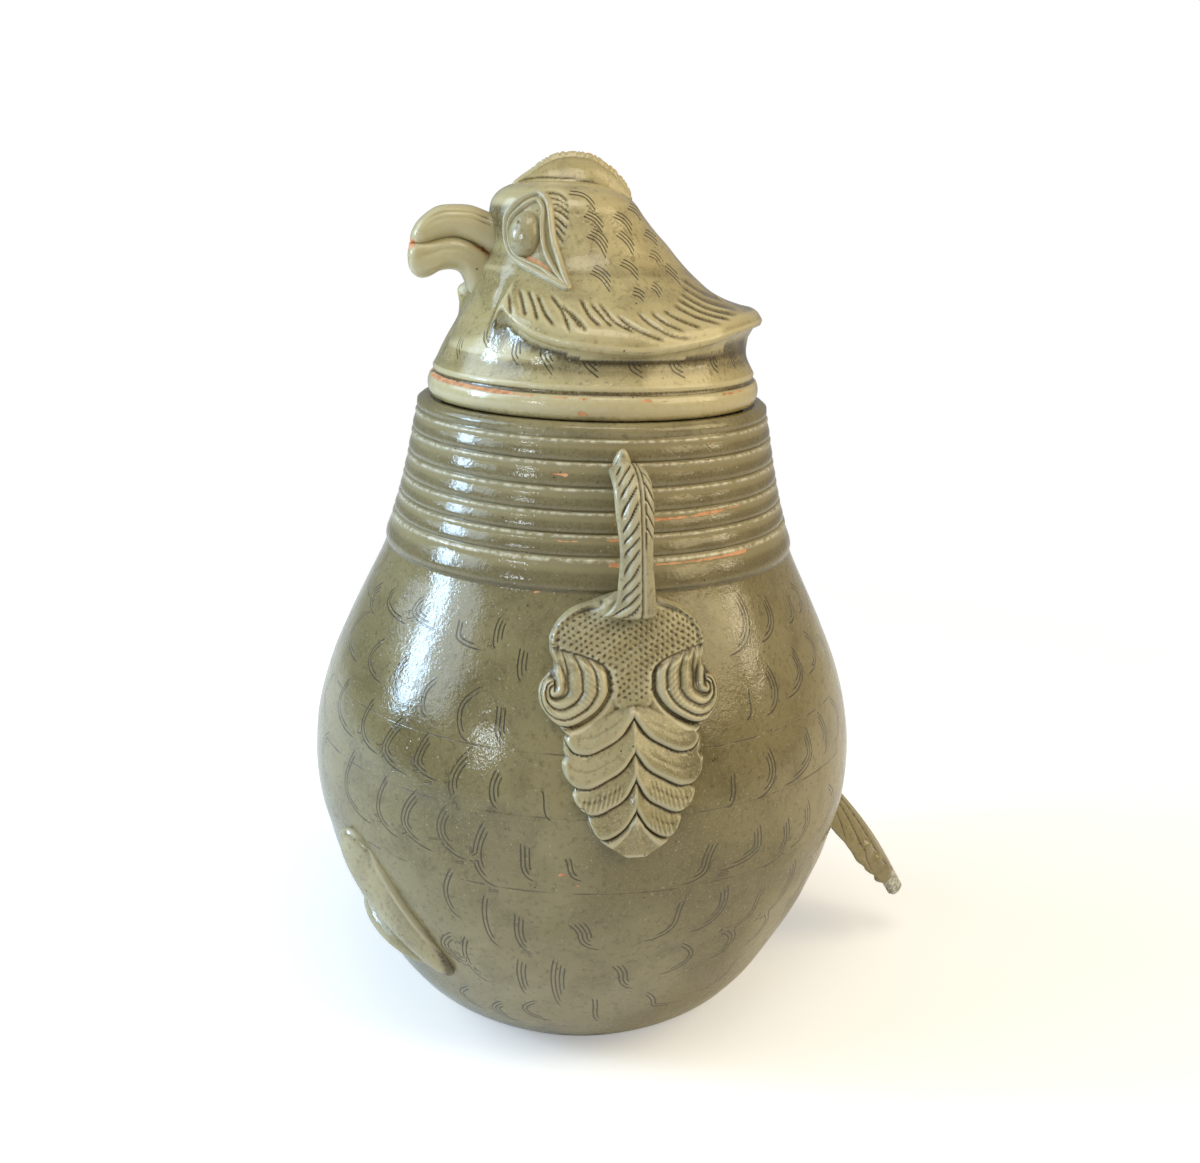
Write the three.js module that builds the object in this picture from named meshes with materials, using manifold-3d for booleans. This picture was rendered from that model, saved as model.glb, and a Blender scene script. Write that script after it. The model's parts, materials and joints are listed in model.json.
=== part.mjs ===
// Owl-shaped lidded stoneware jar: a thrown round pot with a ribbed neck, and a lid that is the owl's head.
// Millimetres, +Z up. Origin at the centre of the flat base. The owl looks along -Y, its left side is +X.
import * as THREE from 'three';
import { mergeVertices } from 'three/addons/utils/BufferGeometryUtils.js';
import Module from 'manifold-3d';

const wasm = await Module();
wasm.setup();

// Driving dimensions
const bellyRadius = 125;        // widest radius of the pot
const baseRadius = 62;          // flat unglazed base
const neckRadius = 90.8;        // radius at the foot of the neck
const rimTop = 286.6;           // height of the jar's rim
const rimInner = 68.5;          // radius of the mouth
const throatDepth = 14.6;       // how far down the mouth stays straight
const wall = 8;                 // thickness of the thrown clay
const floorThickness = 10;      // clay under the inside of the pot
const seatGap = 0.3;            // clearance between the lid and the rim it rests on
const lutingGap = 0.3;          // film between an applied piece and the clay that it is pressed onto
const flangeClearance = 2.5;    // radial play of the lid's locating flange in the mouth
const flangeDepth = 11;         // how far the flange reaches below the rim
const rollBulge = 1.2;          // how far each neck roll stands out between its notches
const handleThickness = 8;      // strap thickness, away from the neck
const strapFoot = 211;          // height where the strap ends on the wing
const wingThickness = 4.6;      // relief of the wing above the shoulder
const legHalfWidth = 12.4;
const toeHalfWidth = 6;
const legProud = 7;             // half thickness of a leg, part of which is sunk in the belly
const toeProud = 10.9;          // half thickness of a toe
const crestThickness = 7;       // width of the fin on the head
const crestNotches = 12;        // nicks along the edge of the fin
const crestNick = 1.1;          // depth of each nick
const beakHalfWidth = 9.5;
const eyelidHalfWidth = 2.1;
const eyelidHeight = 3.2;
const tailLength = 82;
const tailHalfWidth = 19;
const tailTipHalfWidth = 9;
const tailThickness = 8;
const tailLean = 36;            // degrees between the tail and the vertical
const tailRoot = [121, 93.5];     // distance behind the axis and height where the tail grows out
const turns = 48;               // facets round the thrown shapes

const glaze = { color: 0x7f7a5c, roughness: 0.22, metalness: 0 };
const glazeDark = { color: 0x746f52, roughness: 0.25, metalness: 0 };
const glazeGrey = { color: 0x8a887a, roughness: 0.22, metalness: 0 };
const rad = THREE.MathUtils.degToRad;

// Pot below the neck: share of the way from the base, or the neck, out to the belly, and height
const flankShares = [
  [0, 0], [0.04, 1.4], [0.119, 4.5], [0.214, 9], [0.302, 13.5], [0.365, 17.5], [0.421, 22], [0.489, 28],
  [0.56, 36], [0.635, 45], [0.714, 55], [0.784, 65], [0.841, 75], [0.895, 85], [0.935, 95], [0.975, 105],
  [0.995, 115], [1, 122],
];
const shoulderShares = [
  [0.997, 128], [0.971, 139], [0.909, 150], [0.825, 160], [0.722, 170], [0.594, 180], [0.459, 190],
  [0.316, 200], [0.17, 210], [0.053, 218.5],
];
// Notches between the rolls of the neck: inset from the neck's foot, depth below the rim
const neckNotches = [[0, 63.3], [4.3, 50.4], [6.9, 41.8], [9, 33.4], [11, 24.3], [12.8, 14.4], [14.6, 5.6]]
  .map(([inset, depth]) => [neckRadius - inset, rimTop - depth]);
const innerHeights = [255, 230, 216, 198, 175, 153, 125, 115, 96, 76, 51, 27];

// Helpers

function solidOf(geometry) {
  const plain = geometry.index ? geometry.toNonIndexed() : geometry.clone();
  plain.deleteAttribute('normal');
  plain.deleteAttribute('uv');
  const merged = mergeVertices(plain, 1e-4);
  const place = merged.attributes.position;
  const corners = Array.from(merged.index.array);
  const kept = [];
  let volume = 0;
  const p = [new THREE.Vector3(), new THREE.Vector3(), new THREE.Vector3()];
  for (let i = 0; i < corners.length; i += 3) {
    const [a, b, c] = [corners[i], corners[i + 1], corners[i + 2]];
    if (a === b || b === c || c === a) continue;
    kept.push(a, b, c);
    p[0].fromBufferAttribute(place, a);
    p[1].fromBufferAttribute(place, b);
    p[2].fromBufferAttribute(place, c);
    volume += p[0].dot(p[1].cross(p[2])) / 6;
  }
  if (volume < 0) {
    for (let i = 0; i < kept.length; i += 3) [kept[i + 1], kept[i + 2]] = [kept[i + 2], kept[i + 1]];
  }
  return new wasm.Manifold(new wasm.Mesh({
    numProp: 3,
    vertProperties: new Float32Array(place.array),
    triVerts: new Uint32Array(kept),
  }));
}

function geometryOf(solid) {
  const mesh = solid.getMesh();
  const geometry = new THREE.BufferGeometry();
  geometry.setAttribute('position', new THREE.BufferAttribute(new Float32Array(mesh.vertProperties), 3));
  geometry.setIndex(new THREE.BufferAttribute(new Uint32Array(mesh.triVerts), 1));
  geometry.computeVertexNormals();
  return geometry;
}

function spun(points, segments = turns) {
  const profile = points.map(([r, z]) => new THREE.Vector2(r, z));
  return solidOf(new THREE.LatheGeometry(profile, segments).rotateX(Math.PI / 2));
}

// Moves every vertex of a geometry by a rule
function bent(geometry, rule) {
  const place = geometry.attributes.position;
  const v = new THREE.Vector3();
  for (let i = 0; i < place.count; i += 1) {
    v.fromBufferAttribute(place, i);
    rule(v, i);
    place.setXYZ(i, v.x, v.y, v.z);
  }
  return geometry;
}

function mirrored(solid) {
  return solid.mirror([1, 0, 0]);
}

function largest(solid) {
  const pieces = solid.decompose();
  return pieces.sort((a, b) => b.volume() - a.volume())[0];
}

// Value at x on a polyline of [x, value] pairs
function along(table, x) {
  if (x <= table[0][0]) return table[0][1];
  for (let i = 1; i < table.length; i += 1) {
    if (x <= table[i][0]) {
      const t = (x - table[i - 1][0]) / (table[i][0] - table[i - 1][0]);
      return table[i - 1][1] + t * (table[i][1] - table[i - 1][1]);
    }
  }
  return table[table.length - 1][1];
}

function smooth(a, b, x) {
  const t = Math.min(Math.max((x - a) / (b - a), 0), 1);
  return t * t * (3 - 2 * t);
}

// Pot

function flankFrom(radius, shares) {
  return shares.map(([share, z]) => [radius + share * (bellyRadius - radius), z]);
}

// Neck profile: a roll bulges between each pair of notches
function neckProfile() {
  const points = [];
  for (let i = 0; i < neckNotches.length - 1; i += 1) {
    const [r0, z0] = neckNotches[i];
    const [r1, z1] = neckNotches[i + 1];
    points.push([r0, z0]);
    points.push([r0 + (r1 - r0) * 0.35 + rollBulge * 1.1, z0 + (z1 - z0) * 0.35]);
    points.push([r0 + (r1 - r0) * 0.75 + rollBulge, z0 + (z1 - z0) * 0.75]);
  }
  points.push(neckNotches[neckNotches.length - 1]);
  return points;
}
const rimProfile = [[8.8, 4], [8.6, 1.7], [6.9, 0.3], [4.5, 0]]
  .map(([out, depth]) => [rimInner + out, rimTop - depth]);
const outerProfile = [
  ...flankFrom(baseRadius, flankShares),
  ...flankFrom(neckRadius, shoulderShares),
  ...neckProfile(),
  ...rimProfile,
];

function outerRadius(z) {
  return along(outerProfile.map(([r, h]) => [h, r]), z);
}

// Radius inside the wall, which is measured square to the outside
function innerRadius(z) {
  const slope = (outerRadius(z + 4) - outerRadius(z - 4)) / 8;
  return outerRadius(z) - wall * Math.hypot(1, slope);
}

const innerProfile = [
  [rimInner + 1.2, rimTop], [rimInner, rimTop - 2], [rimInner, rimTop - throatDepth],
  ...innerHeights.map((z) => [innerRadius(z), z]),
  [baseRadius, floorThickness + 3], [baseRadius - 22, floorThickness],
];
const jarBody = spun([[0, 0], ...outerProfile, ...innerProfile, [0, floorThickness]]);

// The pot without its hollow, grown by a film: what applied pieces are cut back to
function potBlank(grow) {
  const grown = outerProfile.map(([r, z]) => [r + grow, z]);
  return spun([[0, -1], [baseRadius + grow, -1], ...grown, [0, rimTop]]);
}
const potFilm = potBlank(lutingGap);

// A point on the outside of the pot, at an angle from the beak, raised by a lift
function onPot(angle, z, lift) {
  const r = outerRadius(z) + lift;
  return new THREE.Vector3(r * Math.sin(rad(angle)), -r * Math.cos(rad(angle)), z);
}

// Lid, drawn from the plane of the rim: heights here are above the rim

// Section of the lid below the cape of feathers: flange, rim band and hollow collar
const flangeRadius = rimInner - flangeClearance;
const bandRadius = rimInner + 4.1;
const collarProfile = [
  [flangeRadius - 1, -flangeDepth], [flangeRadius, 1.5 - flangeDepth], [flangeRadius, seatGap],
  ...[[-2, seatGap], [-0.4, 2.8], [0, 5.8], [-0.8, 9], [-2.2, 10.4], [-2.2, 12.8], [-4, 16], [-5.8, 19.9]]
    .map(([out, z]) => [bandRadius + out, z]),
];
// Edge of the cape against the angle from the beak: height, radius
const capeEdgeHeight = [
  [0, 30.4], [36, 33.4], [45, 41.9], [50, 38.6], [56, 34.8], [65, 31.4], [82, 28.8], [95, 27.8], [108, 29],
  [121, 31.2], [135, 34], [156, 35.4], [180, 35.4],
];
const capeEdgeRadius = [
  [0, 60.8], [36, 61], [45, 64], [55, 67.5], [65, 69.4], [78, 71], [120, 71.2], [150, 71.4], [166, 72.6],
  [180, 73.8],
];
const waistRadius = [[0, 64.6], [60, 66.2], [180, 66.4]];
const waistHeight = 23.9;
// Rise of the cape from its edge to the head: share of the way in, share of the way up
const riseSide = [[0, 0], [0.05, 0.14], [0.2, 0.33], [0.45, 0.56], [0.72, 0.77], [1, 1]];
const riseBack = [[0, 0], [0.07, 0.17], [0.2, 0.24], [0.45, 0.37], [0.72, 0.6], [1, 1]];
const riseFront = [[0, 0], [0.2, 0.16], [0.41, 0.31], [0.66, 0.57], [0.85, 0.8], [1, 1]];
const capeSteps = [0, 0.05, 0.2, 0.45, 0.72];
// Head above the cape: height, centre along Y, radius
const headRings = [
  [54.9, -5.1, 44.9], [60.4, -6.2, 40.6], [65.4, -8, 38], [71.4, -11.2, 35.3], [77.4, -13.6, 32.6],
  [81.9, -14.8, 30.4], [85.4, -15.5, 27], [88, -16, 22], [89.8, -16, 14],
];
const headTop = [-16, 90.6];

// A point of the lid's outside: row counts up from the flange, angle is measured from the beak
function lidPoint(row, angle, grow) {
  const side = Math.abs(THREE.MathUtils.radToDeg(Math.atan2(Math.sin(angle), Math.cos(angle))));
  const sx = Math.sin(angle);
  const sy = -Math.cos(angle);
  const edge = [along(capeEdgeRadius, side), along(capeEdgeHeight, side)];
  if (row < collarProfile.length) {
    const [r, z] = collarProfile[row];
    return new THREE.Vector3((r + grow) * sx, (r + grow) * sy, z);
  }
  let k = row - collarProfile.length;
  if (k === 0) {
    const r = along(waistRadius, side) + grow;
    return new THREE.Vector3(r * sx, r * sy, waistHeight);
  }
  if (k === 1) {
    const overhang = smooth(36, 52, side);
    const r = edge[0] - 3 * overhang + grow;
    return new THREE.Vector3(r * sx, r * sy, edge[1] - 1.2 - 1.2 * overhang);
  }
  k -= 2;
  const [hz, hy, hr] = headRings[0];
  if (k < capeSteps.length) {
    const t = capeSteps[k];
    const front = 1 - smooth(34, 60, side);
    const back = smooth(115, 175, side);
    const rise = front * along(riseFront, t) + back * along(riseBack, t)
      + (1 - front - back) * along(riseSide, t);
    const x = (1 - t) * edge[0] * sx + t * hr * sx;
    const y = (1 - t) * edge[0] * sy + t * (hy + hr * sy);
    return new THREE.Vector3(x + grow * sx, y + grow * sy, edge[1] + (hz - edge[1]) * rise);
  }
  k -= capeSteps.length;
  const [z, y, r] = headRings[k];
  const up = smooth(headRings[4][0], headTop[1], z) * grow;
  return new THREE.Vector3((r + grow) * sx, y + (r + grow) * sy, z + up);
}

// A closed skin over rings: place(row, angle) gives a point, and the ends close on two poles
function ringSkin(rows, segments, place, bottom, top) {
  const line = [new THREE.Vector2(0, 0)];
  for (let i = 1; i <= rows; i += 1) line.push(new THREE.Vector2(1, i));
  line.push(new THREE.Vector2(0, rows + 1));
  const columns = rows + 2;
  return bent(new THREE.LatheGeometry(line, segments), (v, i) => {
    const row = (i % columns) - 1;
    const angle = (Math.floor(i / columns) % segments) * 2 * Math.PI / segments;
    if (row < 0) v.set(0, bottom[0], bottom[1]);
    else if (row === rows) v.set(0, top[0], top[1]);
    else v.copy(place(row, angle));
  });
}

function lidOutside(grow) {
  const rows = collarProfile.length + 2 + capeSteps.length + headRings.length;
  const place = (row, angle) => lidPoint(row, angle, grow);
  return solidOf(ringSkin(rows, turns, place, [0, -flangeDepth], [headTop[0], headTop[1] + grow]));
}

// Inside of the lid: height, centre along Y, radius
const lidHollow = [
  [-flangeDepth - 1, 0, flangeRadius - 7], [9.4, 0, 59.5], [25.4, 0, 57], [35.4, 0.4, 53.6], [45.4, -3, 45.5],
  [55.4, -6, 36.5], [65.4, -9, 29.5], [73.4, -12, 25], [79.4, -14.5, 18],
];
const lidHollowTop = [-15, 81.9];

function lidInside() {
  const place = (row, angle) => {
    const [z, y, r] = lidHollow[row];
    return new THREE.Vector3(r * Math.sin(angle), y - r * Math.cos(angle), z);
  };
  const rows = lidHollow.length;
  return solidOf(ringSkin(rows, turns / 2, place, [0, lidHollow[0][0]], lidHollowTop));
}
const lidFilm = lidOutside(lutingGap);
const lidBody = lidOutside(0).subtract(lidInside());

// Crest

const crestOutline = [
  [-36, 86.4], [-35, 90.2], [-29.6, 94.2], [-23.2, 99.6], [-11.7, 102.8], [0, 100.6], [7.7, 95.4],
  [13.4, 88.4], [15.6, 80.4],
];
const crestFoot = [[-36, 75.4], [15, 68.4]];

function crestSolid() {
  const outline = new THREE.CatmullRomCurve3(crestOutline.map(([y, z]) => new THREE.Vector3(0, y, z)));
  const shape = new THREE.Shape();
  shape.moveTo(...crestFoot[0]);
  const steps = crestNotches * 4;
  for (let i = 0; i <= steps; i += 1) {
    const p = outline.getPoint(i / steps);
    const nick = i % 4 === 0 && i > 8 ? crestNick : 0;
    const inward = new THREE.Vector2(-10 - p.y, crestFoot[1][1] - p.z).normalize();
    shape.lineTo(p.y + inward.x * nick, p.z + inward.y * nick);
  }
  shape.lineTo(...crestFoot[1]);
  shape.closePath();
  const fin = new THREE.ExtrudeGeometry(shape, { depth: crestThickness, bevelEnabled: false });
  const edge = crestOutline[4][1];
  bent(fin, (v) => {
    const thin = 1 - 0.35 * smooth(edge - 11.4, edge, v.y);
    v.set((v.z - crestThickness / 2) * thin, v.x, v.y);
  });
  return largest(solidOf(fin).subtract(lidFilm));
}

// Beak

const beakUpper = [
  [-40, 74.4], [-49.3, 77.9], [-54.3, 79.4], [-60.6, 79.6], [-66.8, 79], [-71, 77], [-76, 72.7], [-78.8, 68],
  [-79.6, 64.8], [-75.3, 64.5], [-71.1, 65.4], [-66.1, 67.1], [-60.6, 67.7], [-55.2, 66.2], [-50.1, 63.5],
  [-45.9, 60.6], [-38, 60.4],
];
const beakLower = [
  [-79.8, 62.8], [-80.6, 58.4], [-80, 53.8], [-78.2, 50.6], [-75.2, 49.3], [-71.4, 50], [-67, 52.4],
  [-61.9, 53], [-58.6, 51.6], [-56.4, 47.4], [-54, 43.4], [-40, 48.4], [-38, 59], [-45.9, 59],
  [-50.1, 61.7], [-55.2, 64.5], [-60.6, 66], [-66.1, 65.4], [-71.1, 63.7], [-75.3, 62.8],
];
const beakBevel = 3;

function beakSolid(outline) {
  const shape = new THREE.Shape(outline.map(([y, z]) => new THREE.Vector2(y, z)));
  const geometry = new THREE.ExtrudeGeometry(shape, {
    depth: 2 * (beakHalfWidth - beakBevel),
    bevelThickness: beakBevel,
    bevelSize: 2,
    bevelOffset: -2,
    bevelSegments: 2,
  });
  bent(geometry, (v) => {
    const taper = 0.72 + 0.28 * smooth(-80, -50, v.x);
    v.set((v.z - beakHalfWidth + beakBevel) * taper, v.x, v.y);
  });
  return solidOf(geometry);
}
const beakTop = largest(beakSolid(beakUpper).subtract(lidFilm));
const beakBottom = largest(beakSolid(beakLower).subtract(lidFilm));

// Eyes

// Corners of the raised rim round the owl's left eye
const eyeRim = [
  [24.5, -31.5, 83.4], [19.5, -39.6, 75.9], [20.5, -41, 67.4], [26.5, -39, 59.6], [35.5, -31.4, 55.8],
  [44.5, -23.2, 52.2], [48.6, -19.6, 49.6], [43.5, -20.5, 56.4], [37.6, -22, 63.9], [33, -23.6, 71.9],
  [30.5, -26.5, 79.9],
];
const eyeCentre = [26.6, -33.2, 68.8];
const eyeballRadii = [6.6, 6.2, 9.2];

function eyeRimSolid(grow) {
  const loop = new THREE.CatmullRomCurve3(eyeRim.map((p) => new THREE.Vector3(...p)), true);
  const rounds = 22;
  const sides = 6;
  const ring = new THREE.TorusGeometry(1, 0.2, sides, rounds);
  bent(ring, (v, i) => {
    const u = (i % (rounds + 1)) % rounds / rounds;
    const w = (Math.floor(i / (rounds + 1)) % sides) / sides * 2 * Math.PI;
    const p = loop.getPointAt(u);
    const out = new THREE.Vector3(p.x, p.y + 8, 12).normalize();
    const across = loop.getTangentAt(u).cross(out).normalize();
    v.copy(p).addScaledVector(across, (eyelidHalfWidth + grow) * Math.cos(w));
    v.addScaledVector(out, (eyelidHeight + grow) * Math.sin(w));
  });
  return solidOf(ring);
}

function eyeballSolid() {
  const ball = new THREE.SphereGeometry(1, 16, 12).scale(...eyeballRadii);
  ball.rotateX(rad(-14)).rotateZ(rad(52)).translate(...eyeCentre);
  return solidOf(ball);
}
const leftEyelid = largest(eyeRimSolid(0).subtract(lidFilm));
const leftEyeball = largest(eyeballSolid().subtract(lidFilm).subtract(eyeRimSolid(lutingGap)));

// Handles and wings

// Half outline of a wing seen from the side: distance from its spine, height
const wingHalf = [
  [0, 221], [12, 221.4], [21, 218.6], [27, 214.5], [31, 207], [31.4, 199.5], [30.2, 196], [34.4, 191],
  [35.6, 185], [33.6, 178.6], [29.4, 174.2], [28.4, 168.5], [27.4, 162.6], [25, 159.2], [25.4, 154.6],
  [22.6, 150], [22.4, 145], [18.6, 140], [17.4, 134.6], [11, 128.6], [5, 126], [0, 125.4],
];
const wingTop = 226;
const wingBottom = 100;

function wingSolid(grow) {
  const right = wingHalf.map(([y, z]) => {
    return new THREE.Vector2(y * (1 + grow / 30), z + grow * (2 * smooth(170, 200, z) - 1));
  });
  const left = right.slice(1, -1).reverse().map((p) => new THREE.Vector2(-p.x, p.y));
  const shape = new THREE.Shape([...right, ...left]);
  const reach = bellyRadius - neckRadius + 36;
  const prism = new THREE.ExtrudeGeometry(shape, { depth: reach, bevelEnabled: false });
  bent(prism, (v) => v.set(v.z + neckRadius - 16, v.x, v.y));
  const raised = wingThickness + grow;
  const outside = outerProfile
    .filter(([, z]) => z > wingBottom && z < wingTop - 2)
    .map(([r, z]) => [r + raised, z]);
  const shell = spun([
    [0, wingBottom], ...outside, [neckRadius + 2.2 + wingThickness, wingTop], [0, wingTop],
  ]);
  return largest(solidOf(prism).intersect(shell).subtract(potFilm));
}

// Strap from under the rim, out from the neck, and down onto the top of the wing:
// distance out from the clay, Y, share of the way up from the foot of the strap to the rim
const strapPath = [
  [-2.4, 0, 0.757], [7.2, 0, 0.778], [16, 0.2, 0.732], [18.5, 0.6, 0.612], [16.7, 1.4, 0.436],
  [11.7, 2.2, 0.268], [7.2, 2.8, 0.11], [1.7, 3.2, 0],
];
// Half width of the strap against the share of its length
const strapWidths = [[0, 6.2], [0.16, 7.3], [0.34, 7.5], [0.6, 6.4], [0.8, 7.4], [1, 7.8]];

function strapSolid(grow) {
  const path = new THREE.CatmullRomCurve3(strapPath.map(([out, y, share]) => {
    const z = strapFoot + share * (rimTop - strapFoot);
    return new THREE.Vector3(outerRadius(z) + out, y, z);
  }));
  const bar = new THREE.CylinderGeometry(1, 1, 1, 10, 18);
  bent(bar, (v) => {
    const t = v.y + 0.5;
    const p = path.getPointAt(t);
    const across = new THREE.Vector3(0, 1, 0);
    const out = path.getTangentAt(t).cross(across).normalize();
    const middle = Math.hypot(v.x, v.z) < 0.5 ? 0 : 1;
    const w = Math.atan2(v.z, v.x);
    const half = along(strapWidths, t) + grow;
    v.copy(p).addScaledVector(across, middle * half * Math.cos(w));
    v.addScaledVector(out, middle * (handleThickness / 2 + grow) * Math.sin(w));
  });
  return solidOf(bar);
}

// Knob of clay on the strap's upper end: radius and height of its profile, and its place under the rim
const knobProfile = [[0, -8], [3.4, -8], [3.6, 0], [2.7, 3.2], [1.2, 5.6], [0, 6]];
const knobPlace = [2, -1.2, 14.1];

function knobSolid() {
  const line = knobProfile.map(([r, z]) => new THREE.Vector2(r, z));
  const knob = new THREE.LatheGeometry(line, 12).rotateX(Math.PI / 2);
  const [out, y, depth] = knobPlace;
  knob.rotateY(rad(14)).translate(outerRadius(rimTop - depth) + out, y, rimTop - depth);
  return solidOf(knob);
}
const leftWing = wingSolid(0);
const leftKnob = largest(knobSolid().subtract(potFilm).subtract(strapSolid(lutingGap)));
const leftHandle = largest(strapSolid(0).subtract(potFilm).subtract(wingSolid(lutingGap)));

// Feet

// Ends of each pellet: angle from the beak, height, lift off the belly
const legEnds = [[27.9, 110, 3.3], [50.8, 50.1, 2.9]];
const toeEnds = [[17.2, 65.4, -3.5], [45.4, 50, -1.6]];

// A long pellet of clay pressed on the belly between two places
function pelletSolid(ends, halfWidth, proud, droop, grow) {
  const [a, b] = ends.map((end) => onPot(...end));
  const centre = a.clone().add(b).multiplyScalar(0.5);
  const length = a.clone().sub(b);
  const long = length.clone().normalize();
  const out = new THREE.Vector3(centre.x, centre.y, 0).normalize();
  const side = out.clone().cross(long).normalize();
  const face = long.clone().cross(side).normalize();
  const ball = bent(new THREE.SphereGeometry(1, 18, 12), (v) => {
    const fatter = 1 + 0.3 * v.y;
    const at = centre.clone().addScaledVector(long, v.y * (length.length() / 2 + grow));
    at.addScaledVector(side, v.x * (halfWidth + grow) * fatter);
    at.addScaledVector(face, v.z * (proud + grow) - v.y * v.y * droop);
    v.copy(at);
  });
  return solidOf(ball);
}
const leftLeg = largest(pelletSolid(legEnds, legHalfWidth, legProud, 1, 0).subtract(potFilm));
const legFilm = pelletSolid(legEnds, legHalfWidth, legProud, 1, lutingGap + 0.1);
const leftToe = largest(
  pelletSolid(toeEnds, toeHalfWidth, toeProud, 1.5, 0).subtract(potFilm).subtract(legFilm),
);

// Tail

const tailArch = 3.2;           // how far the tail bows up in the middle
const tailFold = 0.028;         // how fast its sides turn down
const tailBevel = 2;

function tailSolid() {
  const [root, middle, end] = [-12, 20, tailLength - 8];
  const shape = new THREE.Shape();
  shape.moveTo(-tailHalfWidth * 0.8, root);
  shape.bezierCurveTo(-tailHalfWidth, middle, -tailHalfWidth * 1.1, tailLength / 2, -tailTipHalfWidth, end);
  shape.quadraticCurveTo(-tailTipHalfWidth * 0.7, tailLength, 0, tailLength);
  shape.quadraticCurveTo(tailTipHalfWidth * 0.7, tailLength, tailTipHalfWidth, end);
  shape.bezierCurveTo(tailHalfWidth * 1.1, tailLength / 2, tailHalfWidth, middle, tailHalfWidth * 0.8, root);
  shape.closePath();
  const fan = new THREE.ExtrudeGeometry(shape, {
    depth: tailThickness - 2 * tailBevel,
    bevelThickness: tailBevel,
    bevelSize: tailBevel,
    bevelOffset: -tailBevel,
    bevelSegments: 2,
    curveSegments: 6,
  });
  const [out, down] = [Math.sin(rad(tailLean)), Math.cos(rad(tailLean))];
  bent(fan, (v) => {
    const s = v.y;
    const arch = tailArch * Math.sin(Math.PI * Math.min(Math.max(s / tailLength, 0), 1));
    const lift = v.z + arch - tailFold * v.x * v.x - tailThickness / 2;
    v.set(v.x, tailRoot[0] + s * out + lift * down, tailRoot[1] - s * down + lift * out);
  });
  return largest(solidOf(fan).subtract(potFilm));
}

// Assembly

const owl = new THREE.Group();
const lid = new THREE.Group();
lid.position.z = rimTop;
owl.add(lid);

function add(parent, name, solid, look) {
  const mesh = new THREE.Mesh(geometryOf(solid), new THREE.MeshStandardMaterial(look));
  mesh.name = name;
  parent.add(mesh);
}

add(owl, 'jar_body', jarBody, glaze);
add(owl, 'left_handle', leftHandle, glazeGrey);
add(owl, 'right_handle', mirrored(leftHandle), glazeGrey);
add(owl, 'left_handle_knob', leftKnob, glazeGrey);
add(owl, 'right_handle_knob', mirrored(leftKnob), glazeGrey);
add(owl, 'left_wing', leftWing, glaze);
add(owl, 'right_wing', mirrored(leftWing), glaze);
add(owl, 'left_leg', leftLeg, glazeGrey);
add(owl, 'right_leg', mirrored(leftLeg), glazeGrey);
add(owl, 'left_toe', leftToe, glazeGrey);
add(owl, 'right_toe', mirrored(leftToe), glazeGrey);
add(owl, 'tail', tailSolid(), glazeDark);
add(lid, 'lid_body', lidBody, glaze);
add(lid, 'crest', crestSolid(), glaze);
add(lid, 'upper_beak', beakTop, glaze);
add(lid, 'lower_beak', beakBottom, glaze);
add(lid, 'left_eyeball', leftEyeball, glazeGrey);
add(lid, 'right_eyeball', mirrored(leftEyeball), glazeGrey);
add(lid, 'left_eyelid', leftEyelid, glazeGrey);
add(lid, 'right_eyelid', mirrored(leftEyelid), glazeGrey);

export default owl;
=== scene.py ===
import json
import math

import bmesh
import bpy
import numpy as np
from mathutils import Matrix, Vector

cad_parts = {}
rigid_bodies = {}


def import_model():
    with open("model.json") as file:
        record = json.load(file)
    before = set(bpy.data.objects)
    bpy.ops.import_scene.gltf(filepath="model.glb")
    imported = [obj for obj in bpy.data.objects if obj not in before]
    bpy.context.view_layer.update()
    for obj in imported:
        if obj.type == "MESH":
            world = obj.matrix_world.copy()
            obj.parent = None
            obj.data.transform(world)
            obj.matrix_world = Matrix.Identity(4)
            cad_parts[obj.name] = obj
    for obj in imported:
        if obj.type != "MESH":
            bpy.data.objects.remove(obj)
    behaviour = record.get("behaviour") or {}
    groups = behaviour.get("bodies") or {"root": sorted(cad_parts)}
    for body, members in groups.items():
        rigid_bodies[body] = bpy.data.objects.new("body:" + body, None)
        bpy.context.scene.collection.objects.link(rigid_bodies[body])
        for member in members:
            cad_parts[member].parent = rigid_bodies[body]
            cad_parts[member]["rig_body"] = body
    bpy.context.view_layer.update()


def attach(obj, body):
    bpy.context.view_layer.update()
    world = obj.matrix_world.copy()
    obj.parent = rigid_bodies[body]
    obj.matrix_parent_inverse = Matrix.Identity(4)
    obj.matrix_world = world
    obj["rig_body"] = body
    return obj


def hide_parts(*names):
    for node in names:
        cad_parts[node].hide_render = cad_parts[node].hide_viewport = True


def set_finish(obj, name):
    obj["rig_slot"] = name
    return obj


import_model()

# Shapes below are in millimetres: the owl looks along -Y, its left side is +X, the flat base is at 0.
mm = 0.001
scene = bpy.context.scene
scene.view_settings.view_transform = "Standard"

# Camera
view = {
    "lens": 37.893,
    "location": (0.5534, -0.0926, 0.3701),
    "yaw": 0.0106,
    "pitch": 0.294,
    "roll": 0.032,
    "side": 80.5,  # degrees round the jar from the beak
}


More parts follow.
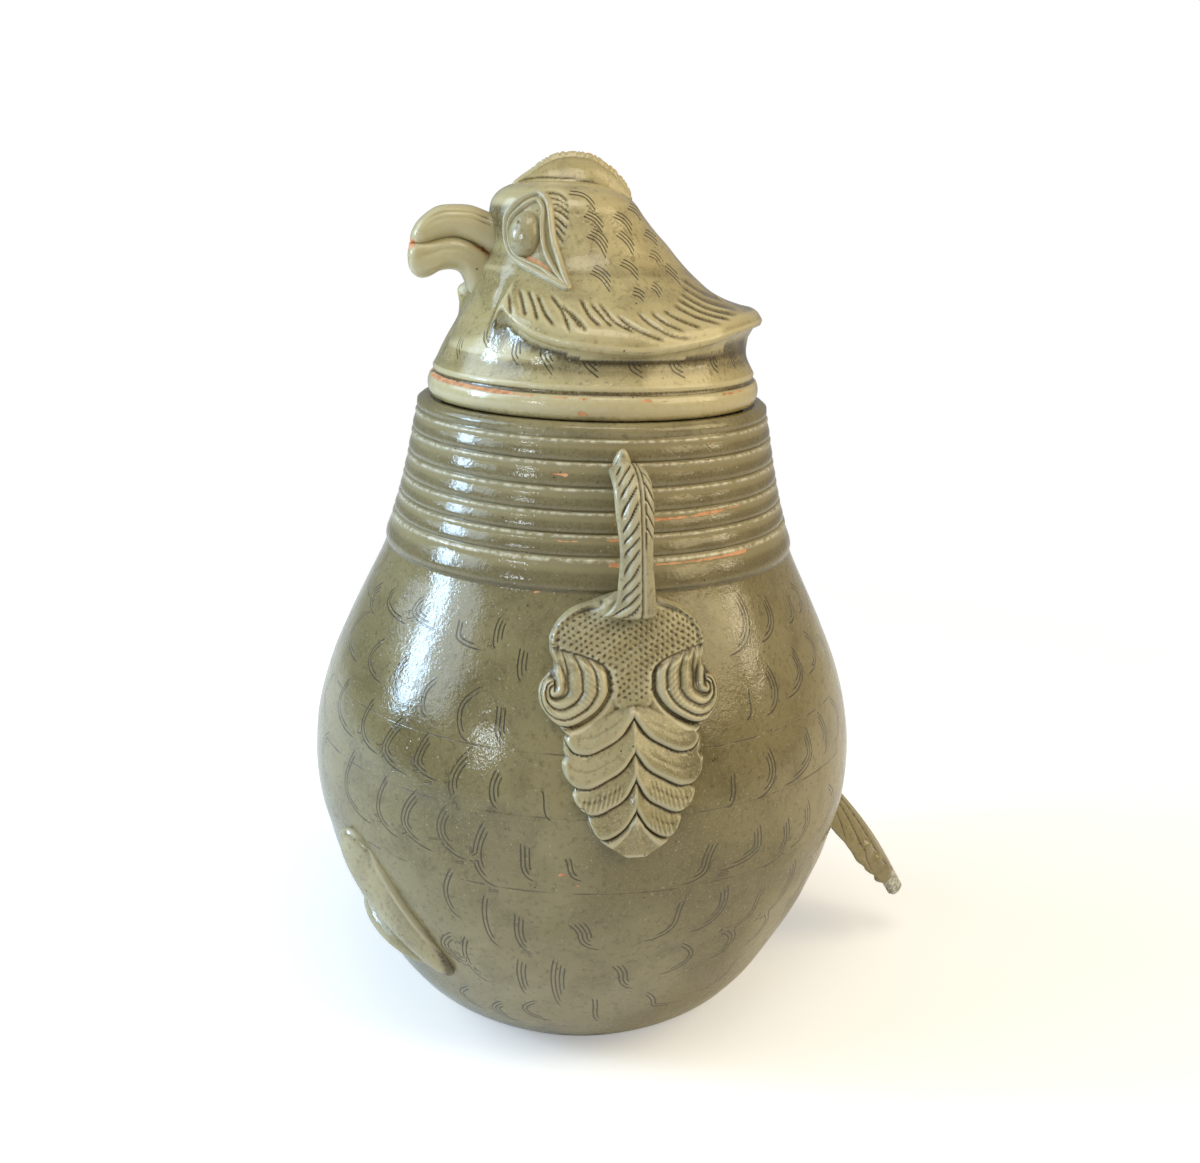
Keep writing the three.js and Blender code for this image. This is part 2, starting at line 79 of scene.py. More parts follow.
def addCamera():
    camera = bpy.data.objects.new("camera", bpy.data.cameras.new("camera"))
    scene.collection.objects.link(camera)
    scene.camera = camera
    camera.data.lens = view["lens"]
    camera.data.sensor_width = 36
    camera.location = view["location"]
    yaw, pitch = view["yaw"], view["pitch"]
    forward = Vector((math.sin(yaw) * math.cos(pitch), math.cos(yaw) * math.cos(pitch), -math.sin(pitch)))
    right = Vector((math.cos(yaw), -math.sin(yaw), 0))
    up = right.cross(forward)
    tilt = Matrix((right, up, -forward)).transposed() @ Matrix.Rotation(view["roll"], 3, "Z")
    turned = Matrix.Rotation(math.radians(view["side"]), 3, "Z") @ tilt
    camera.rotation_euler = turned.to_euler()


# Studio
studio = {
    "ambient": 0.27,
    "floorSize": 12.0,
    "floorFade": (0.3, 0.8),  # metres from the jar where the floor's shadow gives way to white
    "floorGlow": 0.32,  # seen by the camera alone, so that the lit floor is white and its shadow stays
    # name: direction round the jar, height angle, distance, width, height, watts, colour
    "lamps": {
        "window": (-2, 16, 1.5, 0.22, 0.46, 9.0, (0.50, 0.73, 1.0)),
        "sideWindow": (42, 12, 1.6, 0.20, 0.18, 1.9, (0.80, 0.92, 1.0)),
        "warmWindow": (164, 17, 1.6, 0.12, 0.24, 0.55, (1.0, 0.90, 0.70)),
        "sky": (-4, 30, 1.6, 1.4, 1.0, 18.0, (0.66, 0.83, 1.0)),
        "warmRoom": (152, 34, 1.6, 1.3, 1.0, 14.6, (1.0, 0.83, 0.50)),
        "ceiling": (90, 66, 1.8, 1.0, 0.7, 8.2, (1.0, 0.93, 0.78)),
    },
}


def addStudio():
    world = bpy.data.worlds.new("studio")
    scene.world = world
    world.use_nodes = True
    nodes, links = world.node_tree.nodes, world.node_tree.links
    soft = nodes["Background"]
    soft.inputs["Color"].default_value = (1, 1, 1, 1)
    soft.inputs["Strength"].default_value = studio["ambient"]
    white = nodes.new("ShaderNodeBackground")
    white.inputs["Color"].default_value = (1, 1, 1, 1)
    path = nodes.new("ShaderNodeLightPath")
    mix = nodes.new("ShaderNodeMixShader")
    links.new(path.outputs["Is Camera Ray"], mix.inputs["Fac"])
    links.new(soft.outputs[0], mix.inputs[1])
    links.new(white.outputs[0], mix.inputs[2])
    links.new(mix.outputs[0], nodes["World Output"].inputs["Surface"])
    for name, (turn, rise, far, wide, tall, watts, colour) in studio["lamps"].items():
        lamp = bpy.data.objects.new(name, bpy.data.lights.new(name, "AREA"))
        scene.collection.objects.link(lamp)
        lamp.data.shape = "RECTANGLE"
        lamp.data.size = wide
        lamp.data.size_y = tall
        lamp.data.energy = watts
        lamp.data.color = colour
        turn, rise = math.radians(turn), math.radians(rise)
        away = Vector((math.sin(turn) * math.cos(rise), -math.cos(turn) * math.cos(rise), math.sin(rise)))
        lamp.location = Vector((0, 0, 0.19)) + away * far
        lamp.rotation_euler = away.to_track_quat("Z", "Y").to_euler()


def addFloor():
    bm = bmesh.new()
    bmesh.ops.create_grid(bm, x_segments=8, y_segments=8, size=studio["floorSize"] / 2)
    mesh = bpy.data.meshes.new("floor")
    bm.to_mesh(mesh)
    bm.free()
    floor = bpy.data.objects.new("floor", mesh)
    scene.collection.objects.link(floor)
    material = bpy.data.materials.new("paleFloor")
    material.use_nodes = True
    nodes, links = material.node_tree.nodes, material.node_tree.links
    paper = nodes["Principled BSDF"]
    paper.inputs["Base Color"].default_value = (0.9, 0.9, 0.9, 1)
    paper.inputs["Roughness"].default_value = 0.9
    paper.inputs["Specular IOR Level"].default_value = 0.1
    paper.inputs["Emission Color"].default_value = (1, 1, 1, 1)
    glow = nodes.new("ShaderNodeEmission")
    glow.inputs["Color"].default_value = (1, 1, 1, 1)
    place = nodes.new("ShaderNodeTexCoord")
    length = nodes.new("ShaderNodeVectorMath")
    length.operation = "LENGTH"
    fade = nodes.new("ShaderNodeMapRange")
    fade.interpolation_type = "SMOOTHSTEP"
    fade.inputs["From Min"].default_value, fade.inputs["From Max"].default_value = studio["floorFade"]
    path = nodes.new("ShaderNodeLightPath")
    seen = nodes.new("ShaderNodeMath")
    seen.operation = "MULTIPLY"
    lit = nodes.new("ShaderNodeMath")
    lit.operation = "MULTIPLY"
    lit.inputs[1].default_value = studio["floorGlow"]
    mix = nodes.new("ShaderNodeMixShader")
    links.new(path.outputs["Is Camera Ray"], lit.inputs[0])
    links.new(lit.outputs[0], paper.inputs["Emission Strength"])
    links.new(place.outputs["Object"], length.inputs[0])
    links.new(length.outputs["Value"], fade.inputs["Value"])
    links.new(fade.outputs["Result"], seen.inputs[0])
    links.new(path.outputs["Is Camera Ray"], seen.inputs[1])
    links.new(seen.outputs[0], mix.inputs["Fac"])
    links.new(paper.outputs[0], mix.inputs[1])
    links.new(glow.outputs[0], mix.inputs[2])
    links.new(mix.outputs[0], nodes["Material Output"].inputs["Surface"])
    mesh.materials.append(material)


addCamera()
addStudio()
addFloor()
print("camera, lamps and floor placed")


# Numbers and curves
def ease(low, high, x):
    t = np.clip((np.asarray(x, float) - low) / (high - low), 0, 1)
    return t * t * (3 - 2 * t)


def along(table, x):
    xs, values = np.array(table, float).T
    return np.interp(x, xs, values)


# Smooth value at x through [x, value] pairs, with no overshoot
def flowing(table, x):
    xs, values = np.array(table, float).T
    x = np.clip(x, xs[0], xs[-1])
    gap = np.diff(xs)
    rise = np.diff(values) / gap
    slope = np.concatenate([rise[:1], (rise[:-1] + rise[1:]) / 2, rise[-1:]])
    turning = rise[:-1] * rise[1:] <= 0
    slope[1:-1][turning] = 0
    slope[1:-1] = np.clip(slope[1:-1], -3 * np.minimum(abs(rise[:-1]), abs(rise[1:])),
                          3 * np.minimum(abs(rise[:-1]), abs(rise[1:])))
    i = np.clip(np.searchsorted(xs, x, side="right") - 1, 0, len(gap) - 1)
    t = (x - xs[i]) / gap[i]
    return ((1 + 2 * t) * (1 - t) ** 2 * values[i] + t * (1 - t) ** 2 * slope[i] * gap[i]
            + t * t * (3 - 2 * t) * values[i + 1] - t * t * (1 - t) * slope[i + 1] * gap[i])


# Points spaced evenly in share along a smooth curve through the given points
def curveThrough(points, shares, closed=False):
    points = np.array(points, float)
    if closed:
        points = np.vstack([points, points[:1]])
    steps = np.linalg.norm(np.diff(points, axis=0), axis=1) ** 0.5
    at = np.concatenate([[0], np.cumsum(steps)]) / steps.sum()
    n = len(points)
    slopes = np.zeros_like(points)
    for i in range(n):
        if closed and i in (0, n - 1):
            slopes[i] = (points[1] - points[n - 2]) / (at[1] + 1 - at[n - 2])
        else:
            a, b = max(i - 1, 0), min(i + 1, n - 1)
            slopes[i] = (points[b] - points[a]) / (at[b] - at[a])
    fine = np.linspace(0, 1, 40 * n)
    i = np.clip(np.searchsorted(at, fine, side="right") - 1, 0, n - 2)
    gap = (at[i + 1] - at[i])[:, None]
    t = (fine - at[i])[:, None] / gap
    line = ((1 + 2 * t) * (1 - t) ** 2 * points[i] + t * (1 - t) ** 2 * slopes[i] * gap
            + t * t * (3 - 2 * t) * points[i + 1] - t * t * (1 - t) * slopes[i + 1] * gap)
    run = np.concatenate([[0], np.cumsum(np.linalg.norm(np.diff(line, axis=0), axis=1))])
    run /= run[-1]
    return np.stack([np.interp(shares, run, line[:, k]) for k in range(line.shape[1])], -1)


def unit(v):
    return v / np.maximum(np.linalg.norm(v, axis=-1, keepdims=True), 1e-9)


# Repeatable soft bumps from a few sine waves
def wander(x, y, z, size, seed):
    total = 0
    for k in range(5):
        a = seed * 1.7 + k * 2.399
        wave = (x * math.cos(a) + y * math.sin(a * 1.3) + z * math.cos(a * 0.7 + 1)) / size
        total = total + np.sin(wave * (1 + 0.31 * k) * 2 * math.pi + a * 5) / 5
    return total


# Mesh blanks
def places(bm):
    bm.verts.ensure_lookup_table()
    return np.array([v.co for v in bm.verts], float)


def moveTo(bm, points):
    for v, p in zip(bm.verts, points):
        v.co = p


# An upright tube of unit radius, one ring at each whole height; every ring has the given count
def tubeBlank(rings, count):
    bm = bmesh.new()
    line = [bm.verts.new((0, -1, k)) for k in range(rings)]
    edges = [bm.edges.new(pair) for pair in zip(line, line[1:])]
    bmesh.ops.spin(bm, geom=line + edges, angle=2 * math.pi, steps=count, axis=(0, 0, 1), use_merge=True)
    return bm


# Ring number and angle of each vertex of such a tube
def ringPlaces(bm):
    p = places(bm)
    return np.rint(p[:, 2]).astype(int), np.arctan2(p[:, 0], -p[:, 1])


# Turns every face of a closed shape outwards
def faceOut(bm):
    bmesh.ops.recalc_face_normals(bm, faces=bm.faces)
    if bm.calc_volume(signed=True) < 0:
        bmesh.ops.reverse_faces(bm, faces=bm.faces)


def closeUp(bm):
    bmesh.ops.remove_doubles(bm, verts=bm.verts, dist=0.01)
    rim = [e for e in bm.edges if e.is_boundary]
    if rim:
        bmesh.ops.holes_fill(bm, edges=rim, sides=0)
    faceOut(bm)


# Makes the piece from a bmesh in millimetres, and lets it ride and stand for its CAD nodes
def makePiece(name, bm, material, body, slot, nodes, marks=None):
    bmesh.ops.scale(bm, vec=(mm, mm, mm), verts=bm.verts)
    mesh = bpy.data.meshes.new(name)
    bm.to_mesh(mesh)
    bm.free()
    mesh.polygons.foreach_set("use_smooth", [True] * len(mesh.polygons))
    for title, values in (marks or {}).items():
        paint(mesh, title, values)
    mesh.materials.append(material)
    piece = bpy.data.objects.new(name, mesh)
    scene.collection.objects.link(piece)
    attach(piece, body)
    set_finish(piece, slot)
    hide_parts(*nodes)
    return piece


def paint(mesh, title, values):
    layer = mesh.attributes.new(title, "FLOAT", "POINT")
    layer.data.foreach_set("value", np.asarray(values, np.float32))


# How deep each vertex lies in a hollow of the shape, in millimetres; ridges are below zero
def hollows(bm, passes):
    bm.verts.index_update()
    bm.normal_update()
    p = places(bm)
    normal = np.array([v.normal for v in bm.verts], float)
    a, b = np.array([(e.verts[0].index, e.verts[1].index) for e in bm.edges]).T
    count = np.bincount(a, minlength=len(p)) + np.bincount(b, minlength=len(p))
    smoothed = p.copy()
    for _ in range(passes):
        total = np.stack([np.bincount(a, smoothed[b, k], len(p)) + np.bincount(b, smoothed[a, k], len(p))
                          for k in range(3)], -1)
        smoothed = total / np.maximum(count, 1)[:, None] * 0.5 + smoothed * 0.5
    return ((smoothed - p) * normal).sum(-1)


# Glaze runs off ridges and gathers in hollows
def pooling(bm, passes=12, depth=0.12):
    deep = hollows(bm, passes)
    return {"poolAndShade": np.clip(deep / depth, 0, 1), "paleAndLit": np.clip(-deep / depth - 0.25, 0, 1) * 0.6}


# The same piece on the owl's right side
def mirrorPiece(piece, name, nodes):
    bm = bmesh.new()
    bm.from_mesh(piece.data)
    bmesh.ops.scale(bm, vec=(-1, 1, 1), verts=bm.verts)
    bmesh.ops.reverse_faces(bm, faces=bm.faces)
    bmesh.ops.scale(bm, vec=(1 / mm, 1 / mm, 1 / mm), verts=bm.verts)
    return makePiece(name, bm, piece.data.materials[0], piece["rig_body"], piece["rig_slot"], nodes)


# Glaze
tints = {
    "pepper": (0.05, 0.036, 0.016, 1),
    "ridge": (0.60, 0.56, 0.42, 1),
    "iron": (0.05, 0.035, 0.02, 1),
    "pinhole": (0.5, 0.48, 0.38, 1),
    "groove": (0.046, 0.036, 0.020, 1),
    "rust": (0.44, 0.17, 0.06, 1),
    "chalk": (0.60, 0.60, 0.54, 1),
    "chalkShade": (0.30, 0.29, 0.25, 1),
}


def newGroup(name, inputs, outputs):
    group = bpy.data.node_groups.new(name, "ShaderNodeTree")
    for title, kind, value in inputs:
        socket = group.interface.new_socket(title, in_out="INPUT", socket_type=kind)
        socket.default_value = value
    for title, kind in outputs:
        group.interface.new_socket(title, in_out="OUTPUT", socket_type=kind)
    start = group.nodes.new("NodeGroupInput")
    end = group.nodes.new("NodeGroupOutput")
    return group, start.outputs, end.inputs


class Wiring:
    def __init__(self, tree):
        self.nodes, self.links = tree.nodes, tree.links

    def join(self, source, target):
        if isinstance(source, (int, float, tuple)):
            target.default_value = source
        else:
            self.links.new(source, target)

    def math(self, operation, a, b=0.0, clamp=False):
        node = self.nodes.new("ShaderNodeMath")
        node.operation = operation
        node.use_clamp = clamp
        self.join(a, node.inputs[0])
        self.join(b, node.inputs[1])
        return node.outputs[0]

    def mix(self, share, a, b):
        node = self.nodes.new("ShaderNodeMix")
        node.data_type = "RGBA"
        self.join(share, node.inputs["Factor"])
        self.join(a, node.inputs["A"])
        self.join(b, node.inputs["B"])
        return node.outputs["Result"]

    def band(self, value, low, high, start=0.0, end=1.0):
        node = self.nodes.new("ShaderNodeMapRange")
        node.interpolation_type = "SMOOTHSTEP"
        self.join(value, node.inputs["Value"])
        for title, number in zip(("From Min", "From Max", "To Min", "To Max"), (low, high, start, end)):
            self.join(number, node.inputs[title])
        return node.outputs["Result"]

    def noise(self, place, scale, detail=3.0, distortion=0.0):
        node = self.nodes.new("ShaderNodeTexNoise")
        self.join(place, node.inputs["Vector"])
        node.inputs["Scale"].default_value = scale
        node.inputs["Detail"].default_value = detail
        node.inputs["Distortion"].default_value = distortion
        return node.outputs["Fac"]

    def spots(self, place, scale):
        node = self.nodes.new("ShaderNodeTexVoronoi")
        self.join(place, node.inputs["Vector"])
        node.inputs["Scale"].default_value = scale
        return node.outputs["Distance"], node.outputs["Color"]

    def attribute(self, title):
        node = self.nodes.new("ShaderNodeAttribute")
        node.attribute_name = title
        return node.outputs["Fac"]

    def place(self):
        return self.nodes.new("ShaderNodeTexCoord").outputs["Object"]

    def first(self, colour):
        node = self.nodes.new("ShaderNodeSeparateColor")
        self.join(colour, node.inputs[0])
        return node.outputs[0]


def celadonGroup():
    group, given, result = newGroup("celadonGlaze", [
        ("Glaze", "NodeSocketColor", (0.2, 0.2, 0.1, 1)),
        ("PooledAndShaded", "NodeSocketColor", (0.1, 0.1, 0.05, 1)),
        ("ThinAndLit", "NodeSocketColor", (0.3, 0.3, 0.2, 1)),
        ("Clay", "NodeSocketColor", (0.6, 0.3, 0.15, 1)),
        ("Wear", "NodeSocketFloat", 0.0),
        ("PoolAndShade", "NodeSocketFloat", 0.0),
        ("PaleAndLit", "NodeSocketFloat", 0.0),
        ("Lines", "NodeSocketFloat", 0.0),
        ("Chalk", "NodeSocketFloat", 0.0),
    ], [("Color", "NodeSocketColor"), ("Roughness", "NodeSocketFloat"), ("Height", "NodeSocketFloat")])
    w = Wiring(group)
    place = w.place()
    clouds = w.noise(place, 9.0, 4.0, 0.6)
    mottle = w.noise(place, 55.0, 5.0, 0.3)
    grain = w.noise(place, 420.0, 4.0)
    dust = w.noise(place, 1300.0, 2.0)
    body = w.mix(w.band(clouds, 0.35, 0.68), given["Glaze"], given["ThinAndLit"])
    body = w.mix(w.band(mottle, 0.44, 0.72, 0.0, 0.38), body, given["PooledAndShaded"])
    body = w.mix(w.band(grain, 0.5, 0.75, 0.0, 0.45), body, given["PooledAndShaded"])
    body = w.mix(w.band(dust, 0.53, 0.7, 0.0, 0.6), body, given["ThinAndLit"])
    # This mask darkens towards the pooled colour: glaze pooled in hollows, and painted shade on the neck
    # rolls, along the mouth slit and round the pellets' edges.
    gatheredAndShaded = w.math("MULTIPLY", given["PoolAndShade"], w.band(mottle, 0.2, 0.6, 0.65, 1.0))
    body = w.mix(gatheredAndShaded, body, given["PooledAndShaded"])
    pepper = w.band(w.noise(place, 900.0, 3.0), 0.50, 0.62)
    pepper = w.math("MULTIPLY", pepper, w.band(given["PoolAndShade"], 0.1, 0.7))
    body = w.mix(w.math("MULTIPLY", pepper, 0.6), body, tints["pepper"])
    ridge = w.mix(w.band(grain, 0.35, 0.65), tints["ridge"], given["ThinAndLit"])
    # This mask lightens towards the thin colour and then the ridge tint: thin glaze on ridges and edges, and
    # painted light on the neck rolls and the beak.
    body = w.mix(w.band(given["PaleAndLit"], 0.0, 0.5), body, given["ThinAndLit"])
    body = w.mix(w.band(given["PaleAndLit"], 0.45, 1.0), body, ridge)
    near, tint = w.spots(place, 210.0)
    iron = w.math("MULTIPLY", w.band(near, 0.06, 0.13, 1.0, 0.0), w.band(w.first(tint), 0.84, 0.86))
    body = w.mix(w.math("MULTIPLY", iron, 0.8), body, tints["iron"])
    near, tint = w.spots(place, 380.0)
    hole = w.math("MULTIPLY", w.band(near, 0.10, 0.22, 1.0, 0.0), w.band(w.first(tint), 0.8, 0.82))
    body = w.mix(w.math("MULTIPLY", hole, 0.35), body, tints["pinhole"])
    body = w.mix(w.math("MULTIPLY", given["Lines"], 0.85), body, tints["groove"])
    ragged = w.noise(place, 160.0, 6.0, 0.8)
    bare = w.band(w.math("ADD", given["Wear"], w.math("MULTIPLY", ragged, 0.9)), 1.02, 1.10)
    rusty = w.mix(w.band(grain, 0.4, 0.75), given["Clay"], tints["rust"])
    body = w.mix(bare, body, rusty)
    chalk = w.band(w.math("ADD", given["Chalk"], w.math("MULTIPLY", ragged, 0.6)), 0.72, 0.86)
    body = w.mix(chalk, body, w.mix(w.band(grain, 0.4, 0.6), tints["chalk"], tints["chalkShade"]))
    w.join(body, result["Color"])
    rough = w.math("ADD", w.math("MULTIPLY", mottle, 0.04), w.math("MULTIPLY", grain, 0.05))
    rough = w.math("ADD", rough, w.math("MULTIPLY", w.math("MAXIMUM", bare, chalk), 0.55))
    w.join(w.math("ADD", rough, 0.02, True), result["Roughness"])
    skin = w.math("MULTIPLY", w.noise(place, 550.0, 2.0), 0.09)
    skin = w.math("ADD", skin, w.math("MULTIPLY", w.noise(place, 1200.0, 2.0), 0.07))
    height = w.math("ADD", skin, w.math("MULTIPLY", w.noise(place, 150.0, 2.0), 0.17))
    height = w.math("SUBTRACT", height, w.math("MULTIPLY", hole, 0.05))
    height = w.math("SUBTRACT", height, w.math("MULTIPLY", bare, 0.12))
    height = w.math("SUBTRACT", height, w.math("MULTIPLY", given["Lines"], 0.25))
    w.join(height, result["Height"])
    return group


# Thin parallel lines of a comb: across counts lines from the first, length is a share of the stroke
def combGroup():
    group, given, result = newGroup("combLines", [("Width", "NodeSocketFloat", 0.23)],
                                    [("Lines", "NodeSocketFloat")])
    w = Wiring(group)
    across, length = w.attribute("combAcross"), w.attribute("combAlong")
    count, near = w.attribute("combCount"), w.attribute("combNear")
    line = w.math("ROUND", across)
    off = w.math("ABSOLUTE", w.math("SUBTRACT", across, line))
    begun = w.math("SUBTRACT", length, w.math("MULTIPLY", line, 0.04))
    left = w.math("SUBTRACT", w.math("SUBTRACT", 1.0, w.math("MULTIPLY", line, 0.12)), length)
    ended = w.math("MINIMUM", begun, left)
    wide = w.math("MULTIPLY", w.band(ended, 0.0, 0.07), given["Width"])
    groove = w.math("SUBTRACT", 1.0, w.math("DIVIDE", off, w.math("ADD", wide, 0.001)), True)
    groove = w.band(groove, 0.0, 0.45)
    groove = w.math("MULTIPLY", groove, w.math("GREATER_THAN", line, -0.5))
    groove = w.math("MULTIPLY", groove, w.math("LESS_THAN", line, w.math("SUBTRACT", count, 0.5)))
    groove = w.math("MULTIPLY", groove, w.band(near, 0.55, 0.7))
    patchy = w.noise(w.place(), 90.0, 3.0)
    groove = w.math("MULTIPLY", groove, w.band(patchy, 0.25, 0.5, 0.75, 1.0))
    drawn = w.band(w.attribute("guide"), 0.5, 0.85)
    drawn = w.math("MULTIPLY", drawn, w.band(patchy, 0.45, 0.6, 0.1, 0.75))
    w.join(w.math("MAXIMUM", groove, drawn), result["Lines"])
    return group


celadon = celadonGroup()
combs = combGroup()
glazes = {
    # name: glaze, pooled glaze and painted shade, thin glaze and painted light
    "potGlaze": ((0.178, 0.146, 0.063, 1), (0.072, 0.054, 0.021, 1), (0.292, 0.248, 0.130, 1)),
    # The head's glaze is painted much lighter than the pot's, as painted light for the warm ceiling light on
    # the head.
    "litLidGlaze": ((0.384, 0.316, 0.138, 1), (0.088, 0.064, 0.024, 1), (0.520, 0.444, 0.244, 1)),
    "reliefGlaze": ((0.295, 0.250, 0.122, 1), (0.078, 0.058, 0.023, 1), (0.460, 0.408, 0.255, 1)),
}
clay = (0.68, 0.34, 0.16, 1)


def glazeMaterial(name):
    glaze, pooledAndShaded, thin = glazes[name]
    material = bpy.data.materials.new(name)
    material.use_nodes = True
    w = Wiring(material.node_tree)
    shader = w.nodes["Principled BSDF"]
    shader.inputs["IOR"].default_value = 1.52
    coat = w.nodes.new("ShaderNodeGroup")
    coat.node_tree = celadon
    for title, value in zip(("Glaze", "PooledAndShaded", "ThinAndLit", "Clay"), (glaze, pooledAndShaded, thin, clay)):
        coat.inputs[title].default_value = value
    lines = w.nodes.new("ShaderNodeGroup")
    lines.node_tree = combs
    w.join(w.attribute("wear"), coat.inputs["Wear"])
    w.join(w.attribute("poolAndShade"), coat.inputs["PoolAndShade"])
    w.join(w.attribute("paleAndLit"), coat.inputs["PaleAndLit"])
    w.join(w.attribute("chalk"), coat.inputs["Chalk"])
    w.join(lines.outputs["Lines"], coat.inputs["Lines"])
    bump = w.nodes.new("ShaderNodeBump")
    bump.inputs["Distance"].default_value = mm
    w.join(coat.outputs["Height"], bump.inputs["Height"])
    w.join(coat.outputs["Color"], shader.inputs["Base Color"])
    w.join(coat.outputs["Roughness"], shader.inputs["Roughness"])
    w.join(bump.outputs["Normal"], shader.inputs["Normal"])
    return material


materials = {name: glazeMaterial(name) for name in glazes}
print("glazes mixed")


# Pot
pot = {
    "bellyRadius": 125, "baseRadius": 62, "neckRadius": 90.8,
    "rimTop": 286.6, "rimInner": 68.5, "throatDepth": 14.6,
    "wall": 8, "floorThickness": 10,
    "rollBulge": 1.6,
    "aroundSteps": 480,
    "ringSpacing": 2.5,
    "guideLines": (165.6, 141.8, 110.0),  # heights of the lines drawn round the belly
    "combStretch": 1.22,
    "wobble": 0.35,
    "insideHeights": (262, 255, 243, 230, 216, 198, 175, 153, 125, 115, 96, 76, 51, 27),
}
flankShares = [
    (0, 0), (0.04, 1.4), (0.119, 4.5), (0.214, 9), (0.302, 13.5), (0.365, 17.5), (0.421, 22),
    (0.489, 28),
    (0.56, 36), (0.635, 45), (0.714, 55), (0.784, 65), (0.841, 75), (0.895, 85), (0.935, 95),
    (0.975, 105),
    (0.995, 115), (1, 122),
]
shoulderShares = [
    (0.997, 128), (0.971, 139), (0.909, 150), (0.825, 160), (0.722, 170), (0.594, 180), (0.459, 190),
    (0.316, 200), (0.17, 210), (0.053, 218.5), (0, 223.3),
]
neckNotches = [(0, 63.3), (4.3, 50.4), (6.9, 41.8), (9, 33.4), (11, 24.3), (12.8, 14.4), (14.6, 5.6)]
rimProfile = [(8.8, 4), (8.6, 1.7), (6.9, 0.3), (4.5, 0)]
flankReach = pot["bellyRadius"] - pot["baseRadius"]
shoulderReach = pot["bellyRadius"] - pot["neckRadius"]
bellyTable = [(z, pot["baseRadius"] + s * flankReach) for s, z in flankShares]
bellyTable += [(z, pot["neckRadius"] + s * shoulderReach) for s, z in shoulderShares]
rollShape = [  # share of the way up a roll, bulge
    (0, 0), (0.04, 0.5), (0.1, 0.8), (0.3, 1.0), (0.55, 0.86), (0.76, 0.74), (0.86, 0.96), (0.91, 1.0),
    (0.96, 0.62), (1, 0),
]
rollSteps = (0.0, 0.04, 0.12, 0.3, 0.5, 0.68, 0.8, 0.87, 0.92, 0.97)
notches = [(pot["rimTop"] - depth, pot["neckRadius"] - inset) for inset, depth in neckNotches]
neckFoot = notches[0][0]


def neckRadiusAt(z):
    z = np.asarray(z, float)
    heights, radii = np.array(notches).T
    i = np.clip(np.searchsorted(heights, z, side="right") - 1, 0, len(heights) - 2)
    t = (z - heights[i]) / (heights[i + 1] - heights[i])
    return radii[i] + (radii[i + 1] - radii[i]) * t + pot["rollBulge"] * flowing(rollShape, t)


# Radius of the pot's outside; heights in millimetres
def potRadius(z):
    z = np.asarray(z, float)
    lip = [(pot["rimTop"] - depth, pot["rimInner"] + out) for out, depth in rimProfile[::-1]]
    rim = np.interp(z, [h for h, r in lip[::-1]], [r for h, r in lip[::-1]])
    upper = np.where(z < notches[-1][0], neckRadiusAt(z), rim)
    return np.where(z < neckFoot, flowing(bellyTable, z), upper)


def potPoint(turn, z, lift=0.0):
    turn = np.radians(turn)
    r = potRadius(z) + lift
    return np.stack([r * np.sin(turn), -r * np.cos(turn), z + 0 * r], -1)


def potProfile():
    heights = [0.0, 0.5, 1.4]
    z, top = 2.2, neckFoot - 1
    while z < top:
        heights.append(z)
        slope = float(potRadius(z + 1) - potRadius(z))
        z += pot["ringSpacing"] / math.hypot(1, slope)
    for line in pot["guideLines"]:
        heights = [h for h in heights if abs(h - line) > 1.2] + [line - 0.8, line, line + 0.8]
    heights.sort()
    outside = [(float(potRadius(h)), h) for h in heights]
    for (z0, _), (z1, _) in zip(notches, notches[1:]):
        for t in rollSteps:
            z = z0 + (z1 - z0) * t
            outside.append((float(neckRadiusAt(z)), z))
    outside.append((notches[-1][1], notches[-1][0]))
    outside += [(pot["rimInner"] + out, pot["rimTop"] - depth) for out, depth in rimProfile]
    inside = [(pot["rimInner"] + 1.2, pot["rimTop"]), (pot["rimInner"], pot["rimTop"] - 2),
              (pot["rimInner"], pot["rimTop"] - pot["throatDepth"])]
    for z in pot["insideHeights"]:
        slope = float(potRadius(z + 4) - potRadius(z - 4)) / 8
        inside.append((float(potRadius(z)) - pot["wall"] * math.hypot(1, slope), z))
    floor = pot["floorThickness"]
    inside += [(pot["baseRadius"], floor + 3), (pot["baseRadius"] - 22, floor), (20, floor), (0, floor)]
    base = [(0, 0), (20, 0), (pot["baseRadius"] - 3, 0)]
    return base + outside + inside


# Bare clay where glaze has flaked from the neck: two turns, two heights, strength
neckChips = [
    (67.7, 76.3, 268.5, 266.1, 0.76), (86, 90.4, 270.9, 272.4, 0.85), (72.3, 83.3, 241.9, 242.6, 0.74),
    (83.3, 89.3, 242.6, 243.0, 0.8), (86.2, 89.2, 233.9, 233.4, 1.1), (98.5, 114, 250.2, 251.0, 0.85),
    (114, 128.6, 251.0, 251.6, 0.76), (97.9, 112, 233.2, 233.6, 0.78), (112, 127.5, 233.6, 233.8, 0.86),
    (94.4, 98.8, 258, 259, 0.7), (114.2, 120, 277, 278.2, 0.8), (66.3, 73.9, 222.6, 222.8, 0.7),
    (77.2, 78.6, 118.7, 118.0, 0.85), (79.8, 80.6, 114.4, 113.8, 0.85), (62, 70, 17.6, 14.8, 0.72),
    (72, 77, 15.0, 15.3, 0.72), (148, 150, 158, 157, 0.7),
]


